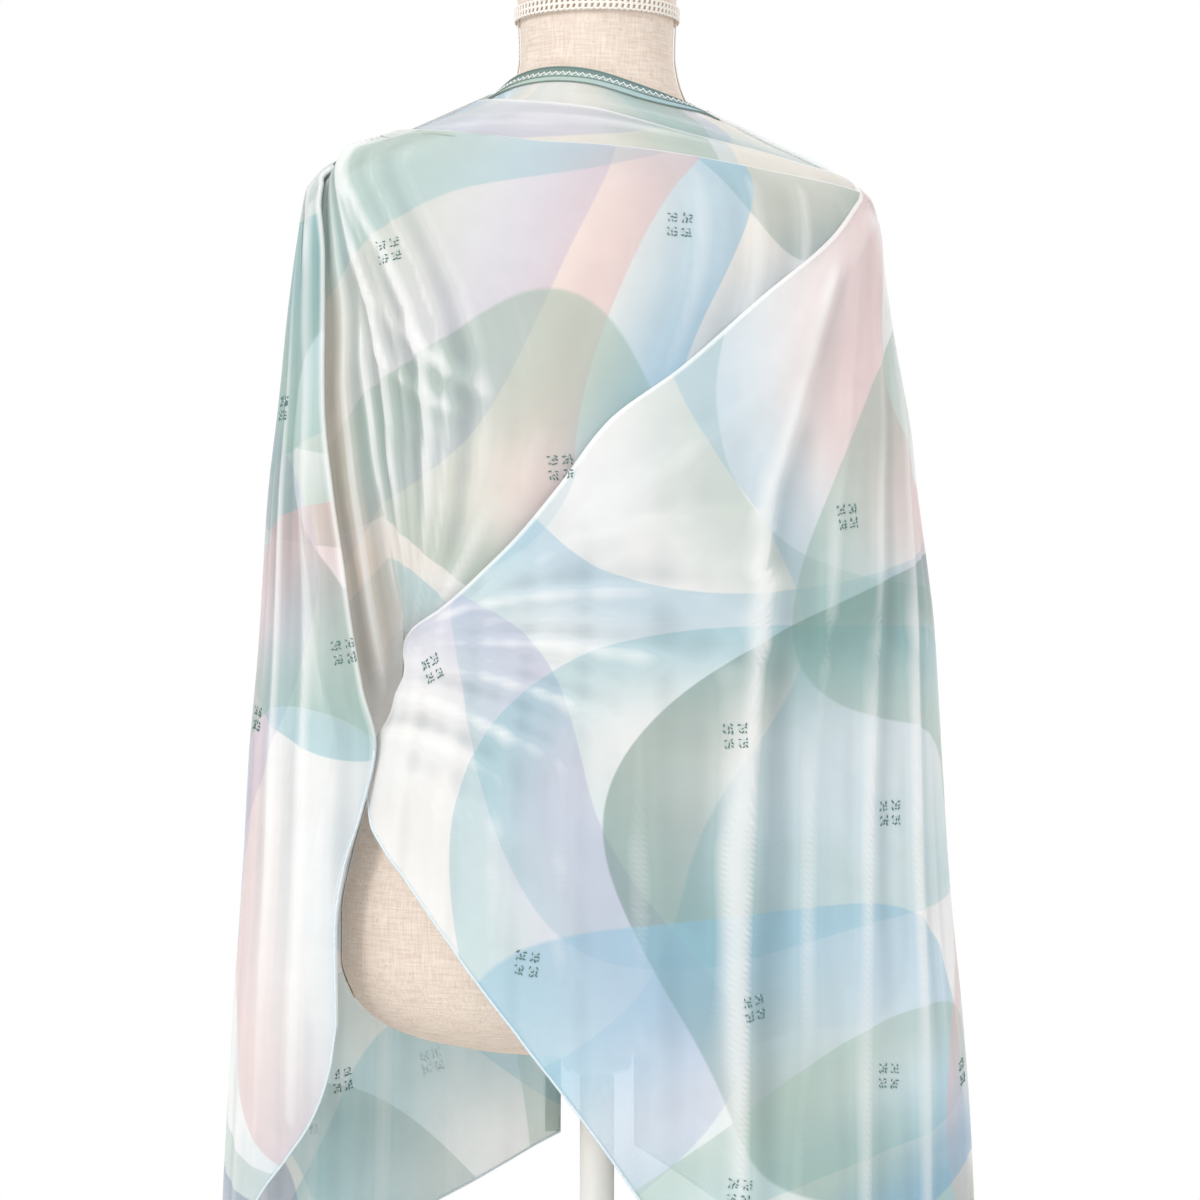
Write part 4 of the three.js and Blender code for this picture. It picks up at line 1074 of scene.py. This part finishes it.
def band_part(shell, turns, heights, out, inward):
    """The band's rows on one stretch, a millimetre apart, walked inwards over the surface."""
    turn = np.array(turns, float)
    z = np.array(heights, float)
    along = unit(np.gradient(shell.bare(turn, z), axis=0))
    rows = []
    for _ in range(BAND_WIDTH + 1):
        facing = shell.facing(turn, z)
        rows.append(np.stack([shell.at(turn, z, out), facing]))
        way = unit(np.cross(facing, along)) * inward
        by_turn = (shell.bare(turn + 0.5, z) - shell.bare(turn - 0.5, z))
        by_height = (shell.bare(turn, z + 0.5) - shell.bare(turn, z - 0.5))
        aa = np.sum(by_turn * by_turn, axis=1)
        bb = np.sum(by_height * by_height, axis=1)
        ab = np.sum(by_turn * by_height, axis=1)
        aw = np.sum(by_turn * way, axis=1)
        bw = np.sum(by_height * way, axis=1)
        spread = aa * bb - ab * ab
        turn = turn + (aw * bb - bw * ab) / spread
        z = z + (bw * aa - aw * ab) / spread
    return np.stack(rows)


back_turns = np.linspace(BACK_TURN, 98, 70)
left_down = np.linspace(float(back_hem_left(BACK_TURN)), 850, 130)
right_down = np.linspace(float(back_hem_right(BACK_TURN)), 850, 130)
neck_turns = np.linspace(-86, 86, 120)
right_back = back_turns[::-1][:-1]
parts = [
    band_part(fall_shell, np.full(130, -float(BACK_TURN)), left_down, BAND_OUT, -1),
    band_part(fall_shell, -back_turns[1:], back_top_left(back_turns[1:]), BAND_OUT, -1),
    band_part(pleat_shell, neck_turns, neck_edge(neck_turns), PLEAT_OUT["upper"] + BAND_OUT, -1),
    band_part(wrap_shell, right_back, back_top_right(right_back), BAND_OUT, -1),
    band_part(wrap_shell, np.full(130, float(BACK_TURN)), right_down[::-1], BAND_OUT, -1),
]
band_rows = np.concatenate(parts, axis=2)


def smoothed(values, reach):
    padded = np.pad(values, ((reach, reach), (0, 0)), mode="reflect", reflect_type="odd")
    return np.stack([np.convolve(column, window(reach), mode="valid") for column in padded.T], axis=1)


edge_run = band_rows[0, 0]
band_along = np.concatenate([[0], np.cumsum(np.linalg.norm(np.diff(edge_run, axis=0), axis=1))])
band_at = np.arange(0, band_along[-1], 2.5)


def evenly_spaced(values):
    even = np.stack([np.interp(band_at, band_along, values[:, k]) for k in range(3)], axis=1)
    return smoothed(even, 7)


tape = np.stack([evenly_spaced(row[0]) for row in band_rows])
tape_facing = unit(np.stack([evenly_spaced(row[1]) for row in band_rows]))
print("band route:", round(float(band_along[-1])), "mm")

# %% The band's tape, its cords and its zigzag
depth = np.arange(BAND_WIDTH + 1) * MM
tape_uv = np.stack(np.broadcast_arrays((band_at * MM)[None, :], depth[:, None]), axis=-1)
band = sheet_object("edge_band_cloth", band_tape, tape, tape_uv, thick=BAND_THICK)


def band_line(depth, out):
    low = int(depth)
    share = depth - low
    middle = tape[low] * (1 - share) + tape[min(low + 1, BAND_WIDTH)] * share
    return middle + tape_facing[low] * out


across_tape = unit(tape[-1] - tape[0])
zigzag = grow("band_zigzag",
              path_object("zigzag", [band_line(4.9, 0.8), band_line(5.0, 0.9)],
                          across=[across_tape, -across_tape]), thread_tree,
              {"Pitch": 0.0024, "Swing": 0.0014, "Thread radius": 0.00055}, zigzag_thread)
cords = grow("band_cords", path_object("cords", [band_line(0.3, 0.5), band_line(3.0, 0.5),
                                                 band_line(6.9, 0.5), band_line(10.9, 0.4)]),
             thread_tree, {"Pitch": 0.004, "Swing": 0.0, "Thread radius": 0.0005}, band_tape)

# %% [markdown]
# Small sprigs are stitched all over the shawl: four little blocks, two by two, each a few short
# stitches of dark thread with a bright one between. It is a common repeat. A ray finds the
# cloth at each place, and Geometry Nodes set the stitches.

# %% A stitch on every point
stitch_tree, given, result = new_tree(
    "stitches_on_points", {"Stitch length": 0.002, "Stitch width": 0.0008, "Seed": 4})
bead = add_node(stitch_tree, "GeometryNodeMeshUVSphere", Segments=6, Rings=4, Radius=0.5)
size = add_node(stitch_tree, "ShaderNodeCombineXYZ", X=given["Stitch length"],
                Y=given["Stitch width"], Z=given["Stitch width"])
shaped = add_node(stitch_tree, "GeometryNodeTransform", Geometry=bead.outputs[0],
                  Scale=size.outputs[0])
vary = add_node(stitch_tree, "FunctionNodeRandomValue", {"data_type": "FLOAT"})
vary.inputs[2].default_value = 0.75
vary.inputs[3].default_value = 1.15
stitch_tree.links.new(given["Seed"], vary.inputs["Seed"])
turned = add_node(stitch_tree, "FunctionNodeEulerToRotation",
                  Euler=vector_attribute(stitch_tree, "euler"))
placed = add_node(stitch_tree, "GeometryNodeInstanceOnPoints", Points=given["Geometry"],
                  Instance=shaped.outputs[0], Rotation=turned.outputs[0], Scale=vary.outputs[1])
close_tree(stitch_tree, placed.outputs[0], given, result)

# %% Where the sprigs are
SPRIGS = [
    # x, z, turn, seen from the front (-1) or from behind (1)
    (55, 830, -4, -1), (-140, 815, 14, -1), (-216, 712, -3, -1), (-24, 668, 4, -1),
    (168, 636, 8, -1), (-110, 534, 22, -1), (-172, 545, 10, -1), (-235, 498, -6, -1),
    (92, 490, 2, -1), (198, 436, 0, -1), (-46, 340, -8, -1), (104, 310, 10, -1),
    (-122, 240, -14, 1), (252, 254, 6, -1), (-186, 230, 8, -1), (94, 190, -8, -1),
    (150, 150, 4, -1), (196, 260, -6, -1),
    (-150, 800, 4, 1), (-60, 760, -6, 1), (90, 780, 5, 1), (170, 700, -4, 1),
    (-190, 620, 6, 1), (-100, 580, 0, 1), (50, 600, -5, 1), (130, 540, 6, 1),
    (-60, 420, 4, 1), (-200, 400, -6, 1), (200, 430, 3, 1), (90, 360, -4, 1),
    (-140, 330, 5, 1), (160, 240, -5, 1), (60, 240, 4, 1), (-210, 200, -3, 1), (210, 130, 5, 1),
]
trees = {}
for name, piece in CLOTH_PIECES.items():
    corners = [v.co.copy() for v in piece.data.vertices]
    trees[name] = BVHTree.FromPolygons(corners, [tuple(f.vertices) for f in piece.data.polygons])


def cloth_at(x, z, side):
    start = Vector((x * MM, side * 0.5, z * MM))
    hits = [tree.ray_cast(start, Vector((0, -side, 0))) for tree in trees.values()]
    hits = [hit for hit in hits if hit[0] is not None]
    return min(hits, key=lambda hit: hit[3]) if hits else None


BLOCK_PITCH = 9.8
STITCH_PITCH = 2.35
STITCH_OUT = 0.5
jitter = random.Random(11)
dark_points, dark_turns, bright_points, bright_turns = [], [], [], []
for x, z, turn, side in SPRIGS:
    hit = cloth_at(x, z, side)
    if hit is None:
        continue
    normal = hit[1] * (1 if hit[1].y * side > 0 else -1)
    up = (Vector((0, 0, 1)) - normal * normal.z).normalized()
    right = up.cross(normal)
    turned_by = Matrix.Rotation(math.radians(turn), 3, normal)
    up, right = turned_by @ up, turned_by @ right
    for block in range(4):
        middle = Vector((block % 2 - 0.5, block // 2 - 0.5)) * BLOCK_PITCH
        for k in range(9):
            spot = middle + Vector((k % 3 - 1, k // 3 - 1)) * STITCH_PITCH
            spot += Vector((jitter.uniform(-0.4, 0.4), jitter.uniform(-0.4, 0.4)))
            where = cloth_at(x + (right.x * spot.x + up.x * spot.y),
                             z + (right.z * spot.x + up.z * spot.y), side)
            if where is None or (where[0] - hit[0]).length > 0.02:
                continue
            angle = math.radians(jitter.choice((0, 90, 45, -45)) + jitter.uniform(-18, 18))
            axis = right * math.cos(angle) + up * math.sin(angle)
            basis = Matrix((axis, normal.cross(axis), normal)).transposed()
            bright = k % 4 == 3
            (bright_points if bright else dark_points).append(where[0] / MM + normal * STITCH_OUT)
            (bright_turns if bright else dark_turns).append(basis.to_euler())


def stitches(name, points, turns, length, width, material):
    mesh = bpy.data.meshes.new(name)
    mesh.from_pydata([point * MM for point in points], [], [])
    layer = mesh.attributes.new("euler", "FLOAT_VECTOR", "POINT")
    layer.data.foreach_set("vector", [value for turn in turns for value in turn])
    return grow(name, put(name, mesh), stitch_tree,
                {"Stitch length": length * MM, "Stitch width": width * MM, "Seed": 4}, material)


sprigs = stitches("sprig_stitches", dark_points, dark_turns, 2.7, 1.05, stitch_thread)
glints = stitches("sprig_glints", bright_points, bright_turns, 2.0, 0.8, glint_thread)

# %% [markdown]
# The form is padded and covered in linen. Its surface is a smooth stack of rings, with a domed
# cap on the neck. Braid hides the join at the neck and both side seams.

# %% The form


def closed_rings(name, rings, tops, look):
    """A solid from rings stacked upwards, closed at both ends by a fan to a middle point."""
    count, around = len(rings), len(rings[0])
    points = [tuple(point) for ring in rings for point in ring] + [tops[0], tops[1]]
    faces = []
    for j in range(count - 1):
        for i in range(around):
            k = (i + 1) % around
            faces.append((j * around + i, j * around + k, (j + 1) * around + k, (j + 1) * around + i))
    for i in range(around):
        k = (i + 1) % around
        faces.append((k, i, count * around))
        last = (count - 1) * around
        faces.append((last + i, last + k, count * around + 1))
    mesh = bpy.data.meshes.new(name)
    mesh.from_pydata([tuple(value * MM for value in point) for point in points], [], faces)
    mesh.shade_smooth()
    mesh.materials.append(look)
    print(f"{name}: {len(faces)} faces")
    return put(name, mesh)


form_heights = np.concatenate([np.linspace(268, 330, 24), np.linspace(336, FORM_TOP, 130)])
form_turns = np.linspace(-180, 180, 145)[:-1]
form_rings = [form_shell.bare(form_turns, np.full(144, z)) for z in form_heights]
closed_rings("form_cover", form_rings, [(0, 0, FORM_BOTTOM), (0, 0, FORM_TOP)], linen)


def turned_piece(name, outline, look, around=72):
    angles = np.radians(np.linspace(0, 360, around + 1)[:-1])
    rings = [np.stack([radius * np.cos(angles), radius * np.sin(angles), 0 * angles + z], axis=1)
             for radius, z in outline]
    return closed_rings(name, rings, [(0, 0, outline[0][1]), (0, 0, outline[-1][1])], look)


cap_outline = [(54.6, 1000.4), (55.0, 1001.2)]
cap_outline += [(55 * math.cos(a), 1001.2 + 8.0 * math.sin(a)) for a in np.linspace(0.2, 1.5, 9)]
turned_piece("form_cap", cap_outline, linen)

# %% [markdown]
# Gimp braid is a row of loops. One small link, set along a path and turned to face out from the
# form, makes every row: two at the neck, and a pair of narrow ones down each side.

# %% A link on every step of a path
link_tree, given, result = new_tree(
    "links_on_path", {"Pitch": 0.0035, "Link radius": 0.002, "Thread radius": 0.0008})
route = add_node(link_tree, "GeometryNodeMeshToCurve", Mesh=given["Geometry"])
evenly = add_node(link_tree, "GeometryNodeResampleCurve", {"mode": "LENGTH"},
                  Curve=route.outputs[0], Length=given["Pitch"])
loop = add_node(link_tree, "GeometryNodeCurvePrimitiveCircle", Resolution=10,
                Radius=given["Link radius"])
strand = add_node(link_tree, "GeometryNodeCurvePrimitiveCircle", Resolution=5,
                  Radius=given["Thread radius"])
link = add_node(link_tree, "GeometryNodeCurveToMesh", Curve=loop.outputs[0],
                Profile_Curve=strand.outputs[0])
stretched = add_node(link_tree, "GeometryNodeTransform", Geometry=link.outputs[0],
                     Rotation=(0, 0, 0.5), Scale=(1.35, 1.0, 0.8))
tangent = add_node(link_tree, "GeometryNodeInputTangent")
follow = add_node(link_tree, "FunctionNodeAlignRotationToVector", {"axis": "X"},
                  Vector=tangent.outputs[0])
upright = add_node(link_tree, "FunctionNodeAlignRotationToVector", {"axis": "Z", "pivot_axis": "X"},
                   Rotation=follow.outputs[0], Vector=vector_attribute(link_tree, "out"))
chain = add_node(link_tree, "GeometryNodeInstanceOnPoints", Points=evenly.outputs[0],
                 Instance=stretched.outputs[0], Rotation=upright.outputs[0])
close_tree(link_tree, chain.outputs[0], given, result)

# %% The braids
ring_angles = np.radians(np.linspace(0, 360, 121))
ring_out = np.stack([np.cos(ring_angles), np.sin(ring_angles), 0 * ring_angles], axis=1)
ring_rows = [ring_out * 57.2 + np.array([0, 0, height]) for height in (990.4, 986.2)]
grow("neck_braid_links", path_object("neck_ring", ring_rows, out=[ring_out, ring_out]), link_tree,
     {"Pitch": 0.0042, "Link radius": 0.0020, "Thread radius": 0.0009}, cotton)
for name, side in (("left", -90.0), ("right", 90.0)):
    heights = np.linspace(985, 304, 240)
    middle = form_shell.at(np.full(240, side), heights, 1.3)
    facing = form_shell.facing(np.full(240, side), heights)
    rows = [middle + np.array([0, shift, 0]) for shift in (-1.5, 1.5)]
    grow(f"{name}_braid_links", path_object(f"{name}_seam", rows, out=[facing, facing]), link_tree,
         {"Pitch": 0.0034, "Link radius": 0.0013, "Thread radius": 0.00065}, cotton)

# %% [markdown]
# The stand is plain: a weighted round plate, a pole and a collar under the form.

# %% The stand
base_outline = [(158, 0), (162, 0), (164.2, 0.8), (165, 2.6), (165, 6.6), (164, 8.9), (161.6, 10),
                (60, 10)]
turned_piece("stand_base_plate", base_outline, enamel, 128)
pole_top = FORM_BOTTOM - 14.8
pole_outline = [(12, 10.4), (17, 10.4), (17.5, 11.2), (17, 13.5), (13.4, 15.0), (12, 17),
                (12, pole_top)]
turned_piece("stand_pole_tube", pole_outline, enamel, 48)
collar_outline = [(18, pole_top + 0.4), (22, pole_top + 1.4), (23.6, pole_top + 3.4),
                  (24, pole_top + 6), (24, FORM_BOTTOM - 1.2), (23.2, FORM_BOTTOM - 0.4)]
turned_piece("stand_collar_ring", collar_outline, enamel, 64)

# %% [markdown]
# The floor is a pale disc that ends in white, so that it meets the studio's white paper.

# %% The floor
floor_material, tree, shader = new_material("studio_floor")
place = add_node(tree, "ShaderNodeTexCoord").outputs["Object"]
from_middle = add_node(tree, "ShaderNodeVectorMath", {"operation": "LENGTH"}, in0=place)
edge_fade = ramp(tree, from_middle.outputs["Value"], 0.3, 0.74, shape="SMOOTHSTEP")
glow = add_node(tree, "ShaderNodeEmission", Color=(1, 1, 1, 1))
floor_mix = add_node(tree, "ShaderNodeMixShader", Fac=edge_fade)
tree.links.new(shader.outputs[0], floor_mix.inputs[1])
tree.links.new(glow.outputs[0], floor_mix.inputs[2])
tree.links.new(floor_mix.outputs[0], tree.nodes["Material Output"].inputs["Surface"])
shader.inputs["Base Color"].default_value = srgb(244, 243, 240)
shader.inputs["Roughness"].default_value = 0.9
bpy.ops.mesh.primitive_circle_add(vertices=96, radius=0.78, fill_type="NGON",
                                  location=(0, 0, -0.001))
floor = bpy.context.object
floor.name = "studio_floor"
floor.data.materials.append(floor_material)

# %% [markdown]
# Last, each piece is attached to the root, and the imported solids it stands for are hidden.

# %% What each piece stands for
STANDS_FOR = {
    "upper_pleat_cloth": ("crepe", ["upper_pleat"]),
    "second_pleat_cloth": ("crepe", ["second_pleat"]),
    "chest_cloth": ("crepe", ["chest_stretch", "left_shoulder_swag", "left_side_stretch"]),
    "left_fall_cloth": ("crepe", ["left_hanging_panel", "back_left_panel"]),
    "outer_wrap_cloth": ("crepe", ["front_wrap", "waist_gather", "front_lower_panel",
                                   "right_hanging_panel", "back_right_panel"]),
    "edge_band_cloth": ("band", ["neck_band", "back_left_band", "back_right_band"]),
    "band_zigzag": ("band", []),
    "band_cords": ("band", []),
    "rolled_hems": ("crepe", []),
    "sprig_stitches": ("crepe", []),
    "sprig_glints": ("crepe", []),
    "form_cover": ("linen", ["form_torso"]),
    "form_cap": ("linen", ["form_neck_cap"]),
    "neck_braid_links": ("braid", ["form_neck_braid"]),
    "left_braid_links": ("braid", ["form_left_braid"]),
    "right_braid_links": ("braid", ["form_right_braid"]),
    "stand_base_plate": ("enamel", ["stand_base"]),
    "stand_pole_tube": ("enamel", ["stand_pole"]),
    "stand_collar_ring": ("enamel", ["stand_collar"]),
}
for name, (slot, nodes) in STANDS_FOR.items():
    piece = bpy.data.objects[name]
    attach(piece, "root")
    if nodes:
        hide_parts(*nodes)
